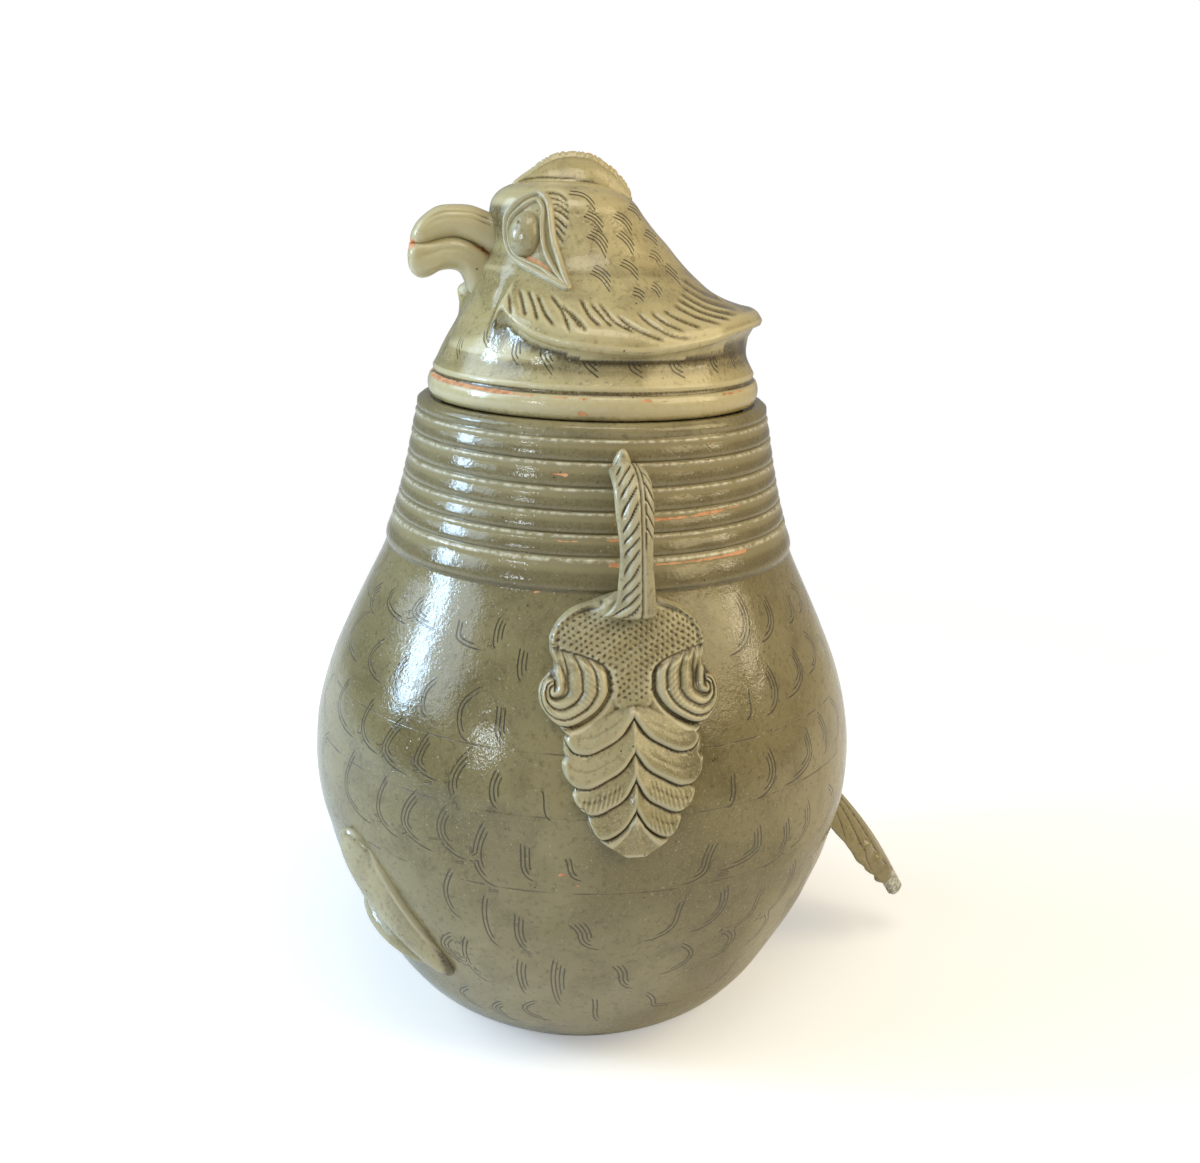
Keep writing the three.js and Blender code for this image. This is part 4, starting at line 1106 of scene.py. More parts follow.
def addBeakHalf(name, over, under, node):
    shares = np.linspace(0, 1, beak["rows"])
    top, low = curveThrough(over, shares), curveThrough(under, shares)
    middle, half = (top + low) / 2, (top - low) / 2
    wide = beak["halfWidth"] * (0.72 + 0.28 * ease(-80, -50, middle[:, 0]))
    wide *= np.sqrt(np.clip(1 - (ease(0.84, 1.0, shares) * 0.9) ** 2, 0, 1))
    rows = [((0, m[0], m[1] + pot["rimTop"]), (w, 0, 0), (0, h[0], h[1]))
            for m, h, w in zip(middle, half, wide)]
    bm, row, angle = loft(rows, beak["around"], 2.5)
    p = places(bm)
    y, up = p[:, 1], p[:, 2] - pot["rimTop"]
    side = abs(p[:, 0]) / beak["halfWidth"]
    if node == "upper_beak":  # two lines scratched along the top
        for drop, deep in ((3.1, 0.8), (5.0, 0.55)):
            ridge = flowing([(-y0, z0) for y0, z0 in upperTop], -y) - drop
            groove = np.exp(-((up - ridge) / 0.55) ** 2) * ease(-74, -68, y) * ease(-44, -49, y)
            p[:, 0] -= np.sign(p[:, 0]) * groove * deep
    else:  # line that follows the edge of the lower half
        ridge = flowing([(-y0, z0) for y0, z0 in lowerTop], -y) - 5.2
        groove = np.exp(-((up - ridge) / 0.6) ** 2) * ease(-77, -73, y) * ease(-52, -60, y)
        p[:, 0] -= np.sign(p[:, 0]) * groove * 0.6
    moveTo(bm, p)
    closeUp(bm)
    marks = pooling(bm, 10, 0.1)
    p = places(bm)
    y, up = p[:, 1], p[:, 2] - pot["rimTop"]
    slit = flowing([(-y0, z0) for y0, z0 in upperUnder], -y) + 0.7
    tip = np.exp(-(np.hypot(y + 79.4, (up - 63.6) * 0.8) / 3.0) ** 2)
    corner = np.exp(-((up - slit + 1.1) / 0.9) ** 2) * ease(-55, -52, y) * ease(-43, -45, y)
    marks["wear"] = np.maximum(tip * 0.95, corner * 0.9 * (node == "lower_beak"))
    # Painted shade along the mouth slit between the two halves, and the beak darker towards the head.
    marks["poolAndShade"] = np.maximum(marks["poolAndShade"], np.exp(-((up - slit) / 0.7) ** 2) * ease(-79, -76, y))
    marks["poolAndShade"] = np.maximum(marks["poolAndShade"], ease(-50, -44, y) * 0.6)
    # Painted light: the outer part of the beak painted paler for the warm light falling on it.
    marks["paleAndLit"] = np.maximum(marks["paleAndLit"], 0.4 * ease(-46, -56, y))
    return makePiece(name, bm, materials["litLidGlaze"], "lid", "lid_glaze", [node], marks)


# Crest: a pinched fin that flares into the head
crest = {"edgeHalf": 2.3, "footHalf": 15.5, "nicks": 25, "nickDepth": 0.6, "rows": 180, "across": 61}
crestOutline = [(-40, 83.2), (-37, 88.4), (-34, 91.2), (-29.6, 94.4), (-23.2, 99.2), (-17, 101.8),
                (-11.7, 102.4), (-5, 102), (0, 100.2), (7.7, 95), (13.4, 88), (15.6, 79)]
crestFoot = [(-34, 81), (-24, 82.4), (-14, 83), (-4, 81.6), (4, 78.6), (10, 73)]
crestLine = [(-43, 86.6), (-34, 89.0), (-24, 90.4), (-14, 90.3), (-4, 88.6), (5, 86), (11, 83), (16, 80)]


def addCrest():
    shares = np.linspace(0, 1, crest["rows"])
    edge = curveThrough(crestOutline, shares)
    foot = curveThrough(crestFoot, shares)
    bm = bmesh.new()
    bmesh.ops.create_grid(bm, x_segments=crest["rows"] - 1, y_segments=crest["across"] - 1, size=1)
    p = places(bm)
    k = np.rint((p[:, 0] + 1) / 2 * (crest["rows"] - 1)).astype(int)
    v = p[:, 1]
    pitch = shares * crest["nicks"] + 0.4 * np.sin(shares * 23) + 0.3 * np.sin(shares * 61)
    teeth = abs(np.cos(pitch * math.pi)) ** 8 * crest["nickDepth"]
    teeth = teeth * ease(0.16, 0.3, shares) * ease(1, 0.93, shares)
    down = abs(v) ** 1.25
    thin = 1 - ease(0.86, 1.0, shares) * 0.55 - ease(0.14, 0.0, shares) * 0.4
    x = np.sign(v) * (crest["edgeHalf"] * np.minimum(1, abs(v) * 5) ** 0.5
                      + (crest["footHalf"] - crest["edgeHalf"]) * down ** 2.1 * thin[k])
    inward = unit(foot - edge)
    nick = teeth[k] * np.exp(-(down / 0.10) ** 2)
    at = edge[k] + (foot[k] - edge[k]) * down[:, None] + inward[k] * nick[:, None]
    line = flowing(crestLine, at[:, 0])
    groove = np.exp(-((at[:, 1] - line) / 0.55) ** 2) * ease(-42, -36, at[:, 0])
    x = x - np.sign(v) * groove * 0.7
    moveTo(bm, np.stack([x, at[:, 0], at[:, 1] + pot["rimTop"]], -1))
    bmesh.ops.recalc_face_normals(bm, faces=bm.faces)
    marks = pooling(bm, 8, 0.1)
    marks["poolAndShade"] = np.maximum(marks["poolAndShade"], np.clip(nick * 1.4 + groove * 0.9, 0, 1))
    marks["wear"] = np.exp(-(down / 0.05) ** 2) * (0.35 + 0.35 * ease(-12, -4, at[:, 0]))
    marks["paleAndLit"] = np.maximum(marks["paleAndLit"], 0.45 * np.exp(-(down / 0.2) ** 2))
    bmesh.ops.holes_fill(bm, edges=[e for e in bm.edges if e.is_boundary], sides=0)
    bmesh.ops.recalc_face_normals(bm, faces=bm.faces)
    return makePiece("headCrest", bm, materials["litLidGlaze"], "lid", "lid_glaze", ["crest"], marks)


# Eyes
eye = {
    "centre": (26.4, -33.6, 68.6), "radii": (7.2, 6.4, 9.6), "tilt": -14, "turn": 52,
    "pupil": (-0.12, -1, 0.48), "pupilSize": 0.09, "pupilDepth": 0.10,
    "ridgeRings": 240, "ridgeSides": 20,
}
outerRim = [
    (24.0, -28.8, 84.8), (22.0, -35.9, 81.5), (19.3, -40.0, 76.2), (19.4, -40.8, 71.0),
    (20.4, -40.4, 65.1),
    (25.0, -38.4, 60.1), (31.4, -35.0, 57.2), (37.8, -30.0, 54.5), (44.2, -24.8, 51.8),
    (49.4, -19.4, 49.5),
    (42.8, -20.3, 54.4), (37.5, -21.7, 60.5), (34.2, -23.4, 67.4), (31.8, -24.2, 74.3),
    (29.2, -24.8, 80.6),
    (26.3, -26.4, 83.8),
]
innerRim = [
    (26.3, -29.7, 82.1), (24.7, -33.5, 80.0), (22.4, -37.6, 76.4), (21.2, -39.4, 72.4),
    (21.4, -39.3, 66.5),
    (25.2, -37.8, 61.3), (31.2, -34.0, 58.5), (37.2, -28.6, 56.1), (43.4, -24.0, 52.7),
    (47.3, -20.5, 50.7),
    (40.5, -23.4, 55.5), (35.6, -26.0, 60.9), (33.0, -27.4, 66.5), (31.2, -27.6, 72.9),
    (29.6, -27.0, 78.0),
    (27.7, -27.9, 81.2),
]
eyelidRidges = [(outerRim, 1.45, 2.4, 0.3), (innerRim, 1.1, 2.1, 0.2)]  # path, half width, height, sunk


def addEye(side, node):
    bm = bmesh.new()
    bmesh.ops.create_uvsphere(bm, u_segments=112, v_segments=72, radius=1)
    p = places(bm)
    dot = np.linalg.norm(p - unit(np.array(eye["pupil"])), axis=-1)
    deep = np.exp(-(dot / eye["pupilSize"]) ** 4)
    moveTo(bm, p * (1 - eye["pupilDepth"] * deep)[:, None])
    place = Matrix.Translation(Vector(eye["centre"]) + Vector((0, 0, pot["rimTop"])))
    place = place @ Matrix.Rotation(math.radians(eye["turn"]), 4, "Z") \
        @ Matrix.Rotation(math.radians(eye["tilt"]), 4, "X") @ Matrix.Diagonal((*eye["radii"], 1))
    bmesh.ops.transform(bm, matrix=place, verts=bm.verts)
    return makePiece(side + "EyeBall", bm, materials["reliefGlaze"], "lid", "relief_glaze", [node],
                     {"poolAndShade": deep, "combAcross": deep * 0 + 9})


# The raised rim: two pinched ridges with a groove between them, on a low bank
def addEyelid(side, node):
    rings, count = eye["ridgeRings"], eye["ridgeSides"]
    shares = np.arange(rings) / rings
    bm = bmesh.new()
    for rim, half, tall, sink in eyelidRidges:
        line = curveThrough(rim, shares, closed=True)
        run = unit(np.roll(line, -1, axis=0) - np.roll(line, 1, axis=0))
        out = unit(np.stack([line[:, 0], line[:, 1] + 8, 0 * line[:, 0] + 12], -1))
        across = unit(np.cross(run, out))
        part = bmesh.new()
        bmesh.ops.create_grid(part, x_segments=rings, y_segments=count, size=1)
        p = places(part)
        k = np.rint((p[:, 0] + 1) / 2 * rings).astype(int) % rings
        w = np.rint((p[:, 1] + 1) / 2 * count) / count * 2 * math.pi
        peak = np.sin(w)
        flank = np.sign(np.cos(w)) * abs(np.cos(w)) ** 1.5
        at = line[k] - out[k] * sink + across[k] * (half * flank)[:, None] + out[k] * (tall * peak)[:, None]
        at[:, 2] += pot["rimTop"]
        moveTo(part, at)
        bmesh.ops.remove_doubles(part, verts=part.verts, dist=0.01)
        bmesh.ops.recalc_face_normals(part, faces=part.faces)
        mesh = bpy.data.meshes.new("ridge")
        part.to_mesh(mesh)
        part.free()
        bm.from_mesh(mesh)
        bpy.data.meshes.remove(mesh)
    marks = pooling(bm, 8, 0.1)
    return makePiece(side + "Eyelid", bm, materials["reliefGlaze"], "lid", "relief_glaze", [node], marks)


# Handles
handle = {"thickness": 8, "foot": 211, "rows": 200, "around": 84, "veinDepth": 0.9, "cutDepth": 1.25}
strapPath = [
    (-2.4, 0, 0.757), (7.2, 0, 0.778), (16, 0.2, 0.732), (18.5, 0.6, 0.612), (16.7, 1.4, 0.436),
    (11.7, 2.2, 0.268), (7.2, 2.8, 0.11), (1.7, 3.2, 0),
]
strapWidths = [(0, 6.2), (0.16, 7.3), (0.34, 7.5), (0.6, 6.4), (0.8, 7.5), (0.92, 8.2), (1, 8.6)]


# Height of the leaf pattern on the strap: length along it in millimetres, place across it from -1 to 1
def leafRelief(run, total, v, half):
    t = run / total
    vein = 0.30 - 0.04 * t
    beside = vein - v
    lift = -handle["veinDepth"] * np.exp(-((beside - 0.03) / 0.07) ** 2)
    lift -= handle["veinDepth"] * 0.8 * np.exp(-((beside + 0.2) / 0.07) ** 2) * ease(0.62, 0.5, t)
    left = np.maximum(beside, 0) * half
    phase = (run - 1.45 * left + 0.8 * np.sin(run * 0.31)) / 5.6
    saw = phase - np.floor(phase)
    cut = np.exp(-((saw - 0.5) / 0.15) ** 2)
    lift -= handle["cutDepth"] * cut * ease(0.4, 2.2, left) * ease(-0.84, -0.6, v) * ease(0.12, 0.17, t) \
        * ease(0.96, 0.9, t)
    right = np.maximum(-beside - 0.13, 0) * half
    phase = (run - 1.7 * right) / 5.2
    saw = phase - np.floor(phase)
    cut = np.exp(-((saw - 0.5) / 0.14) ** 2)
    lift -= handle["cutDepth"] * 0.8 * cut * ease(0.2, 0.8, right) * ease(0.55, 0.45, t) \
        * ease(0.12, 0.16, t)
    return lift


def addHandle(name, node):
    rows = handle["rows"]
    shares = np.linspace(0, 1, rows)
    rise = pot["rimTop"] - handle["foot"]
    line = []
    for out, y, share in strapPath:
        z = handle["foot"] + share * rise
        line.append((float(potRadius(z)) + out, y, z))
    line = curveThrough(line, shares)
    total = np.linalg.norm(np.diff(line, axis=0), axis=1).sum()
    run = unit(np.gradient(line, axis=0))
    across = np.array([(0, 1, 0)] * rows, float)
    out = unit(np.cross(run, across))
    half = flowing(strapWidths, shares)
    thick = handle["thickness"] / 2 * (1 - 0.6 * ease(0.9, 1, shares))
    spec = [(c, a * h, o * k) for c, a, o, h, k in zip(line, across, out, half, thick)]
    bm, row, angle = loft(spec, handle["around"], 2.1)
    p = places(bm)
    v = ((p - line[row]) * across[row]).sum(-1) / half[row]
    outer = ease(-0.1, 0.35, np.cos(angle))
    lift = leafRelief(shares[row] * total, total, v, half[row]) * outer
    facet = 0.6 * ease(-0.35, -0.62, v) * ease(-1.02, -0.7, v) * outer
    p += out[row] * (lift - facet)[:, None]
    skirt = ease(0.84, 1.0, shares)[row] * ease(0.0, -0.5, v)
    p += across[row] * (-skirt * 7.0)[:, None] - out[row] * (skirt * 1.2)[:, None]
    p -= out[row] * (4.5 * ease(0.91, 1.0, shares)[row])[:, None]
    moveTo(bm, p)
    closeUp(bm)
    marks = pooling(bm, 8, 0.12)
    return makePiece(name, bm, materials["reliefGlaze"], "jar", "relief_glaze", [node], marks)


knobProfile = [(0, -8), (3.4, -8), (3.6, 0), (3.2, 1.6), (2.5, 3.2), (1.8, 4.6), (0.9, 5.7), (0, 6)]
knobPlace = (2, -1.2, 14.1, 14)  # out from the neck, Y, depth under the rim, lean in degrees


def addKnob(name, node):
    bm = bmesh.new()
    line = [bm.verts.new((0, -r, z)) for r, z in curveThrough(knobProfile, np.linspace(0, 1, 30))]
    edges = [bm.edges.new(pair) for pair in zip(line, line[1:])]
    bmesh.ops.spin(bm, geom=line + edges, angle=2 * math.pi, steps=40, axis=(0, 0, 1), use_merge=True)
    closeUp(bm)
    out, y, depth, lean = knobPlace
    z = pot["rimTop"] - depth
    place = Matrix.Translation((float(potRadius(z)) + out, y, z))
    place = place @ Matrix.Rotation(math.radians(lean), 4, "Y")
    bmesh.ops.transform(bm, matrix=place, verts=bm.verts)
    return makePiece(name, bm, materials["reliefGlaze"], "jar", "relief_glaze", [node])


# Feet: ends of each pellet of clay as angle from the beak, height and lift
feet = {
    "leg": (12.4, 7, 1),  # half width, half thickness, droop of the ends
    "toe": (6, 10.9, 1.5),
    "taper": 0.3,
    "foldDepth": 1.3, "crestHeight": 0.7,
    "segments": 150, "rings": 80,
}
legEnds = [(27.9, 110, 3.3), (50.8, 50.1, 2.9)]
toeEnds = [(17.2, 65.4, -3.5), (45.4, 50, -1.6)]


def addPellet(name, ends, shape, node):
    halfWidth, proud, droop = shape
    a, b = (potPoint(*end) for end in ends)
    centre, length = (a + b) / 2, a - b
    far = unit(length)
    out = unit(np.array([centre[0], centre[1], 0]))
    side = unit(np.cross(out, far))
    face = unit(np.cross(far, side))
    bm = bmesh.new()
    bmesh.ops.create_uvsphere(bm, u_segments=feet["segments"], v_segments=feet["rings"], radius=1)
    p = places(bm)
    x, y, z = p[:, 0], p[:, 2], -p[:, 1]
    at = centre + np.outer(y * np.linalg.norm(length) / 2, far)
    crease = 0 * x
    if node == "left_leg":  # a fold pressed along its rear edge
        length = ease(-0.97, -0.85, y) * ease(0.88, 0.6, y)
        crease = np.exp(-((x + 0.93) / 0.05) ** 2) * length
        crest = np.exp(-((x + 0.76) / 0.10) ** 2) * length
        z = z + (feet["crestHeight"] * crest - feet["foldDepth"] * crease) / proud
    at += np.outer(x * halfWidth * (1 + feet["taper"] * y), side)
    at += np.outer(z * proud - y * y * droop, face)
    moveTo(bm, at)
    faceOut(bm)
    marks = pooling(bm)
    # Painted shade round the edge of the pellet where it meets the belly, stronger towards its lower end; the
    # fold on the leg holds pooled glaze.
    seamShade = ease(0.86, 0.97, np.hypot(x, y)) * (0.55 - 0.4 * y)
    marks["poolAndShade"] = np.maximum(marks["poolAndShade"], np.maximum(crease, seamShade))
    return makePiece(name, bm, materials["reliefGlaze"], "jar", "relief_glaze", [node], marks)


# Tail: a ribbed fan, narrow at its broken tip
tail = {
    "length": 82, "thickness": 8,
    "lean": 36, "root": (121, 93.5),  # degrees from straight down; Y and height where it leaves the belly
    "arch": 3.2, "fold": 0.028,
    "tips": (40, 50.5, 61), "tipHeight": 1.9,  # rounded ends of the feathers
    "ribs": 2.5, "ribDepth": 1.5,
    "rows": 200, "around": 180,
}
tailWidths = [  # distance from the root, half width
    (-12, 15), (0, 17), (20, 19), (42, 18.4), (60, 14.5), (70, 10.5), (76, 8.2), (80, 5.0), (82, 1.2),
]


def addTail():
    s = np.linspace(-12, tail["length"], tail["rows"])
    half = flowing(tailWidths, s)
    rows = [((0, at, 0), (h, 0, 0), (0, 0, tail["thickness"] / 2 * (1 + 1.1 * float(ease(9, -9, at)))))
            for at, h in zip(s, half)]
    bm, row, angle = loft(rows, tail["around"], 2.5)
    p = places(bm)
    at, x = p[:, 1], p[:, 0]
    v = x / half[row]
    face = np.sign(p[:, 2]) * ease(0, 0.45, abs(np.cos(angle)))
    spread = v / (0.5 + 0.5 * ease(0, 60, at))
    rib = abs(np.sin(math.pi * (tail["ribs"] * spread + 0.5)))
    lift = -tail["ribDepth"] * (1 - np.sqrt(rib + 1e-6)) * ease(-2, 14, at) * ease(78, 68, at)
    for tip in tail["tips"]:
        far = np.hypot((at - tip) * 0.75, (abs(v) - 0.78) * half[row])
        lift = lift + tail["tipHeight"] * np.exp(-(far / 2.6) ** 2)
        x = x * (1 + 0.05 * np.exp(-((at - tip) / 4) ** 2) * abs(v) ** 6)
    arch = tail["arch"] * np.sin(math.pi * np.clip(at / tail["length"], 0, 1))
    rough = wander(x, at, 0, 7, 4) * 0.9 * ease(72, 82, at)
    height = p[:, 2] + face * lift + arch - tail["fold"] * x ** 2 + rough
    reach = at + wander(x, 0, 0, 6, 7) * 1.6 * ease(76, 84, at) - 1.2 * ease(78, 84, at)
    lean = math.radians(tail["lean"])
    moveTo(bm, np.stack([x, tail["root"][0] + reach * math.sin(lean) + height * math.cos(lean),
                         tail["root"][1] - reach * math.cos(lean) + height * math.sin(lean)], -1))
    closeUp(bm)
    marks = pooling(bm, 8, 0.12)
    p = places(bm)
    far = (p[:, 1] - tail["root"][0]) * math.sin(lean) - (p[:, 2] - tail["root"][1]) * math.cos(lean)
    marks["chalk"] = ease(62, 70, far) * 0.95
    return makePiece("tailFan", bm, materials["potGlaze"], "jar", "pot_glaze", ["tail"], marks)


# Wings: distance from the spine and height above the base, in millimetres
wing = {
    "proud": 4.5,
    "columns": 210, "rows": 230,
    "top": 224, "bottom": 126.4,
    "spineAt": 0.8,          # how far behind the jar's side the spine runs
    "scroll": (30.0, 189.0), # centre of the curl at the wing's shoulder
    "scrollRidges": 3.9,
    "ridgeHeight": 1.6,
    "webHeight": 2.3,
    "stipplePitch": 2.5,
    "stippleDepth": 0.6,
    "featherBase": 0.4, "featherRise": 3.9, "featherCrease": 1.5,
    "rimRidge": 1.15,
}
wingOutline = [  # height, half width
    (126.4, 0.5), (127.4, 4), (129, 7), (131.5, 10.5), (133.2, 13), (135.5, 15.6), (138.5, 17.6),
    (141.6, 18.4),
    (143.6, 18.2), (145.5, 20.6), (148.5, 23.4), (151.5, 24.2), (153.6, 23.4), (156, 25.6),
    (159.5, 27.8),
    (163, 28), (165.6, 26.8), (168, 27.2), (171, 27.2), (173.4, 26.4), (175.2, 28.4), (178.2, 32),
    (182, 35),
    (186, 36), (190, 35.2), (193.4, 32.6), (196, 30), (198, 29.6), (202, 31), (206, 31), (210, 29.4),
    (214, 26.4),
    (218, 21), (221, 13), (224, 5),
]
# Direction round the curl's centre in degrees (0 to the spine, 90 down), distance to its edge
scrollReach = [
    (0, 21.2), (18.9, 18.5), (41, 15.7), (72.5, 13.9), (90, 12.6), (120, 9.8), (146, 7.6), (180, 6),
]
# Stippled web: half width at each height, and its rim as distance from the spine and height
webHalf = [(176, 2.2), (181, 3.6), (184, 6.6), (190, 8.6), (195, 9.0), (200, 14), (206, 40)]
webRim = [
    (13, 220.5), (22, 216.8), (28.2, 211), (30.2, 204.5), (29.4, 198), (27.9, 193), (28.2, 189.2), (30.4, 188),
]
featherEdges = [  # lower edge of each feather: distance from the spine, height
    [(0, 179), (4.5, 173), (11.5, 168.5), (19, 165.8), (23, 166.4), (26, 169.6), (29, 176)],
    [(0, 166.8), (4, 161.2), (11, 156.6), (19, 153.3), (23.5, 153.8), (26.5, 156.6), (29, 163)],
    [(0, 157), (3.5, 150.7), (10, 146), (16, 143.6), (20, 144), (22.8, 147), (25, 153)],
    [(0, 145.1), (3.5, 139.3), (9.5, 134.4), (13, 133.8), (16, 136), (18, 141), (20, 147)],
    [(0, 124), (30, 124)],
]


# Relief of the wing above the belly at y from its spine and height z: height, depth of shade, bare clay
def wingRelief(y, z):
    u = abs(y)
    edges = np.array([flowing(table, np.minimum(u, table[-1][0])) for table in featherEdges])
    above = np.vstack([np.full((1, len(u)), 190.0), edges[:-1]])
    lift = np.full(len(u), 1.7)
    bare = np.zeros(len(u))
    for k in range(5):
        tall = np.maximum(above[k] - edges[k], 3) if k else np.maximum(11.5 + 0 * u, 3)
        t = (z - edges[k]) / tall
        here = (z >= edges[k]) & (z < above[k])
        plump = (1 - np.exp(-np.maximum(t, 0) / 0.15)) * (1.06 - 0.8 * np.clip(t, 0, 1) ** 1.25)
        if k == 4:
            rays = np.cos(np.arctan2(u, np.maximum(147 - z, 1)) * 11)
            plump = 0.8 + 0.05 * rays + 0 * t
        second = 0.07 * np.exp(-((t - 0.6) / 0.07) ** 2) * ease(3, 8, u) if k < 4 else 0
        hatch = 0.0
        if k == 2 or k == 3:
            comb = np.cos(2 * math.pi * (u * 0.93 + (z - edges[k]) * 0.28) / 1.75)
            hatch = 0.10 * comb * ease(0.12, 0.3, t) * ease(0.95, 0.7, t) * ease(4, 7, u)
            hatch = hatch * (1.0 if k == 2 else (y > 0))
        tile = wing["featherBase"] + wing["featherRise"] * plump - 2.4 * second + hatch
        lift = np.where(here, tile, lift)
        if k < 4:
            crease = np.exp(-((z - edges[k] + 0.5) / 0.75) ** 2)
            lift = lift - wing["featherCrease"] * crease
            bare = np.maximum(bare, crease * (0.55 + 0.3 * np.sin(u * 0.7 + k * 2 + np.sign(y))))
    # raised spine, a little higher at each feather
    spine = np.exp(-(u / 1.5) ** 2) * ease(129, 136, z) * ease(190, 184, z)
    lift = lift + 0.55 * spine * (0.6 + 0.4 * np.cos(2 * math.pi * (z - 130) / 12.4))
    # web of stippled skin between the shoulders
    web = ease(181.5, 184.5, z) * ease(1.2, -1.2, u - flowing(webHalf, z))
    slant = 0.82 * z + 0.57 * u + wander(y, z, 0, 17, 3) * 0.5
    row = slant / (wing["stipplePitch"] * 0.8)
    odd = np.floor(row) % 2
    across = (0.82 * u - 0.57 * z + wander(y, z, 0, 13, 2) * 0.9) / wing["stipplePitch"] + odd / 2
    dot = ((across - np.rint(across)) * 0.8) ** 2 + ((row - np.floor(row) - 0.5) * 0.8) ** 2
    stipple = np.exp(-dot / 0.032) * ease(184, 188, z) * ease(219, 213, z)
    skin = wing["webHeight"] + 0.5 * wander(y, z, 0, 26, 5) - wing["stippleDepth"] * stipple
    lift = lift * (1 - web) + skin * web
    # curl: strands come down beside each other and sweep round under its centre
    centreOut, centreUp = wing["scroll"]
    across, down = centreOut - u, centreUp - z
    way = np.degrees(np.arctan2(np.maximum(down, 0), across))
    below = np.hypot(across, down) / flowing(scrollReach, way)
    spineSide = across / flowing([(0, 21.2), (5.4, 20.9), (10.4, 17.6), (14, 13.5), (18, 11)], -down)
    outerSide = np.hypot(across, down) / 5.8
    share = np.where(down >= 0, below, np.where(across > 0, spineSide, outerSide))
    fade = np.where(down >= 0, 1.0, ease(203.2, 199.6, z + 0.012 * across ** 2)) * (share >= 0)
    fade = np.where((down < 0) & (across < 0), ease(-4.4, -3.0, down), fade)
    strand = abs(np.sin(math.pi * wing["scrollRidges"] * share))
    hatched = 0.05 * np.cos(2 * math.pi * (z * 0.8 - u * 0.6) / 1.7) * ease(0.35, 0.6, share)
    curl = 2.3 + 1.1 * np.clip(share, 0, 1) ** 1.5 + wing["ridgeHeight"] * (np.sqrt(strand + 1e-6) - 0.5)
    curl = (curl + hatched) * (0.2 + 0.8 * (1 - np.clip(share, 0, 1) ** 10))
    curlMask = (share < 1) * fade
    lift = lift * (1 - curlMask) + curl * curlMask
    outward = (share - 1) * flowing(scrollReach, way)
    lift = lift - 1.7 * np.exp(-((outward - 0.5) / 0.75) ** 2) * fade * (way < 85)
    bare = np.maximum(bare, np.exp(-((outward - 0.2) / 0.6) ** 2) * fade * (way < 80) * (z < 199) * 0.62)
    # rim of the web, which runs into the curl
    rim = curveThrough(webRim, np.linspace(0, 1, 60))
    gap = np.hypot(u[:, None] - rim[:, 0], z[:, None] - rim[:, 1]).min(-1)
    lift = lift + wing["rimRidge"] * np.exp(-(gap / 0.95) ** 2) - 0.45 * np.exp(-((gap - 2.1) / 0.7) ** 2)
    # smooth lump where the handle was pressed on
    lump = np.hypot(y + 9.5, z - 217.6)
    lift = lift + 2.8 * np.exp(-(lump / 4.4) ** 2)
    flare = np.hypot((y + 5.5) * 0.75, z - 224)
    lift = lift + 4.0 * np.exp(-(flare / 4.6) ** 2)
    return lift, web * stipple, bare


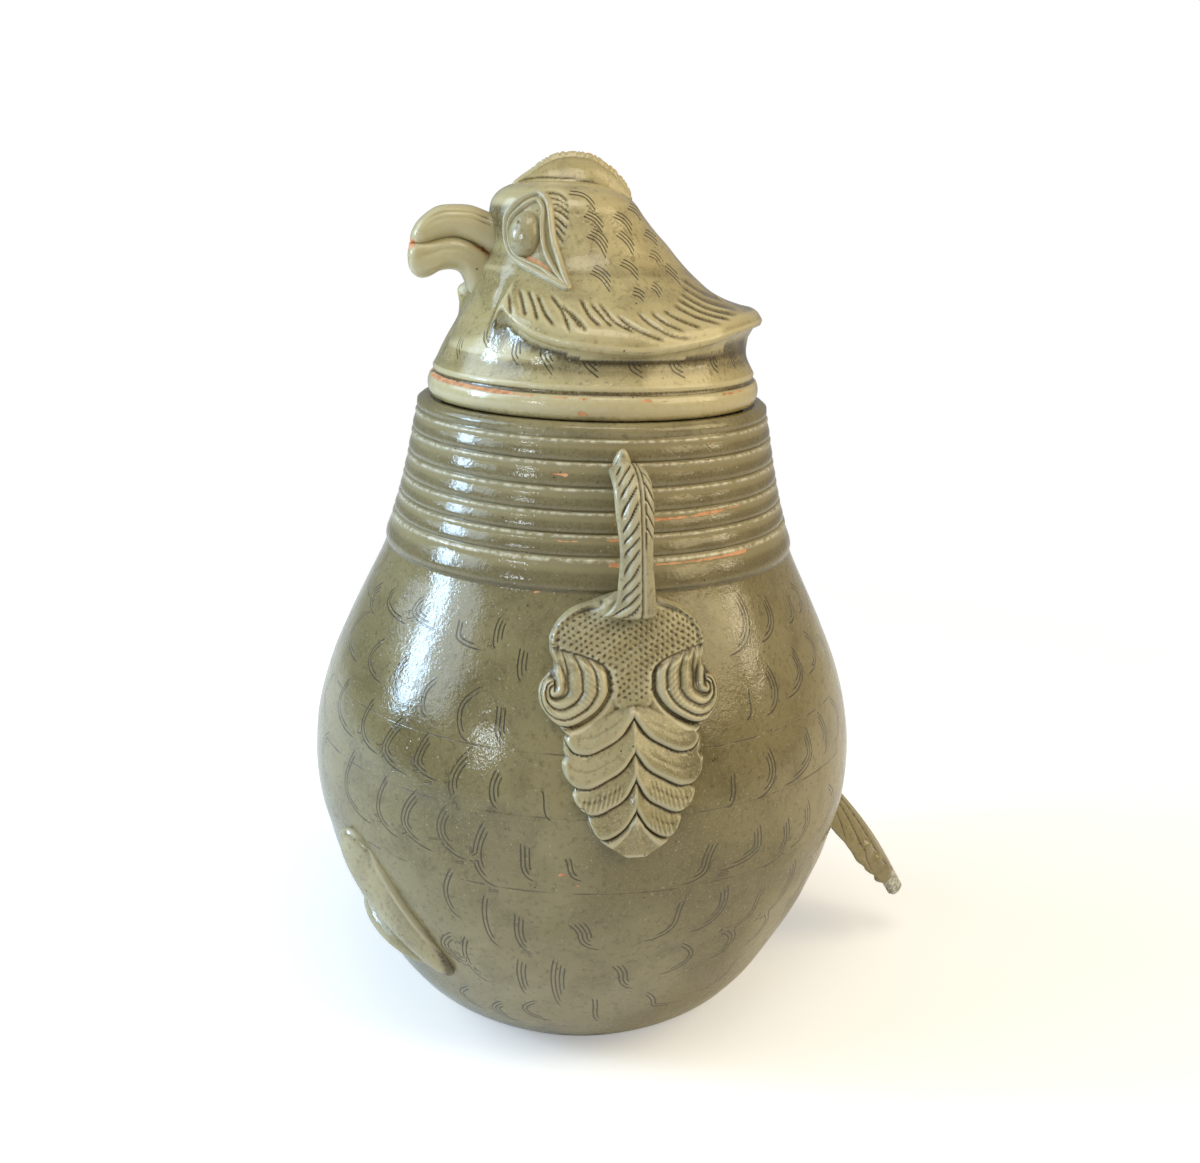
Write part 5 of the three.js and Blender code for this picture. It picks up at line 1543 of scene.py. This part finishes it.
def addWing(name, node):
    bm = bmesh.new()
    bmesh.ops.create_grid(bm, x_segments=wing["columns"], y_segments=wing["rows"], size=1)
    p = places(bm)
    u, t = p[:, 0], (p[:, 1] + 1) / 2
    z = wing["bottom"] + t * (wing["top"] - wing["bottom"])
    half = flowing(wingOutline, z)
    y = np.sin(u * math.pi / 2 * 0.98) / math.sin(math.pi / 2 * 0.98) * half
    lift, dots, bare = wingRelief(y, z)
    rim = np.clip((half - abs(y)) / 2.0, 0, 1)
    rim = np.minimum(rim, np.clip((z - wing["bottom"]) / 2.4, 0, 1))
    rim = np.minimum(rim, np.clip((wing["top"] - z) / 5, 0, 1))
    rounded = np.sqrt(1 - (1 - rim) ** 2)
    lift = np.minimum(lift, wing["proud"] + ease(190, 205, z) * 4) * rounded - 0.7 * (1 - rim)
    r = potRadius(z) + lift
    at = np.stack([np.sqrt(np.maximum(r * r - y * y, 1)), y + wing["spineAt"], z], -1)
    moveTo(bm, at)
    bmesh.ops.recalc_face_normals(bm, faces=bm.faces)
    marks = pooling(bm, 14, 0.16)
    marks["poolAndShade"] = np.clip(marks["poolAndShade"] + dots * 0.5, 0, 1)
    halo = np.clip(1 - rim, 0, 1) ** 3 * (0.5 + 0.28 * np.sin(z * 0.33 + np.sign(y) * 1.6))
    marks["wear"] = np.maximum(bare * 0.66, halo * (z < 200))
    # closed behind, inside the clay
    rimEdges = [e for e in bm.edges if e.is_boundary]
    back = bmesh.ops.extrude_edge_only(bm, edges=rimEdges)["geom"]
    behind = [g for g in back if isinstance(g, bmesh.types.BMVert)]
    for v in behind:
        v.co.x -= 3
    bmesh.ops.holes_fill(bm, edges=[e for e in bm.edges if e.is_boundary], sides=0)
    bmesh.ops.recalc_face_normals(bm, faces=bm.faces)
    extra = len(bm.verts) - len(z)
    marks = {title: np.concatenate([values, np.zeros(extra)]) for title, values in marks.items()}
    return makePiece(name, bm, materials["reliefGlaze"], "jar", "relief_glaze", [node], marks)


addPot()
print("pot thrown")
addLid()
print("lid thrown")
addBeakHalf("upperBeak", upperTop, upperUnder, "upper_beak")
addBeakHalf("lowerBeak", lowerTop, lowerUnder, "lower_beak")
addCrest()
mirrorPiece(addEye("left", "left_eyeball"), "rightEyeBall", ["right_eyeball"])
mirrorPiece(addEyelid("left", "left_eyelid"), "rightEyelid", ["right_eyelid"])
print("face made")
mirrorPiece(addHandle("leftHandle", "left_handle"), "rightHandle", ["right_handle"])
mirrorPiece(addKnob("leftKnob", "left_handle_knob"), "rightKnob", ["right_handle_knob"])
mirrorPiece(addWing("leftWing", "left_wing"), "rightWing", ["right_wing"])
mirrorPiece(addPellet("leftLeg", legEnds, feet["leg"], "left_leg"), "rightLeg", ["right_leg"])
mirrorPiece(addPellet("leftToe", toeEnds, feet["toe"], "left_toe"), "rightToe", ["right_toe"])
addTail()
print("handles, wings, feet and tail pressed on")
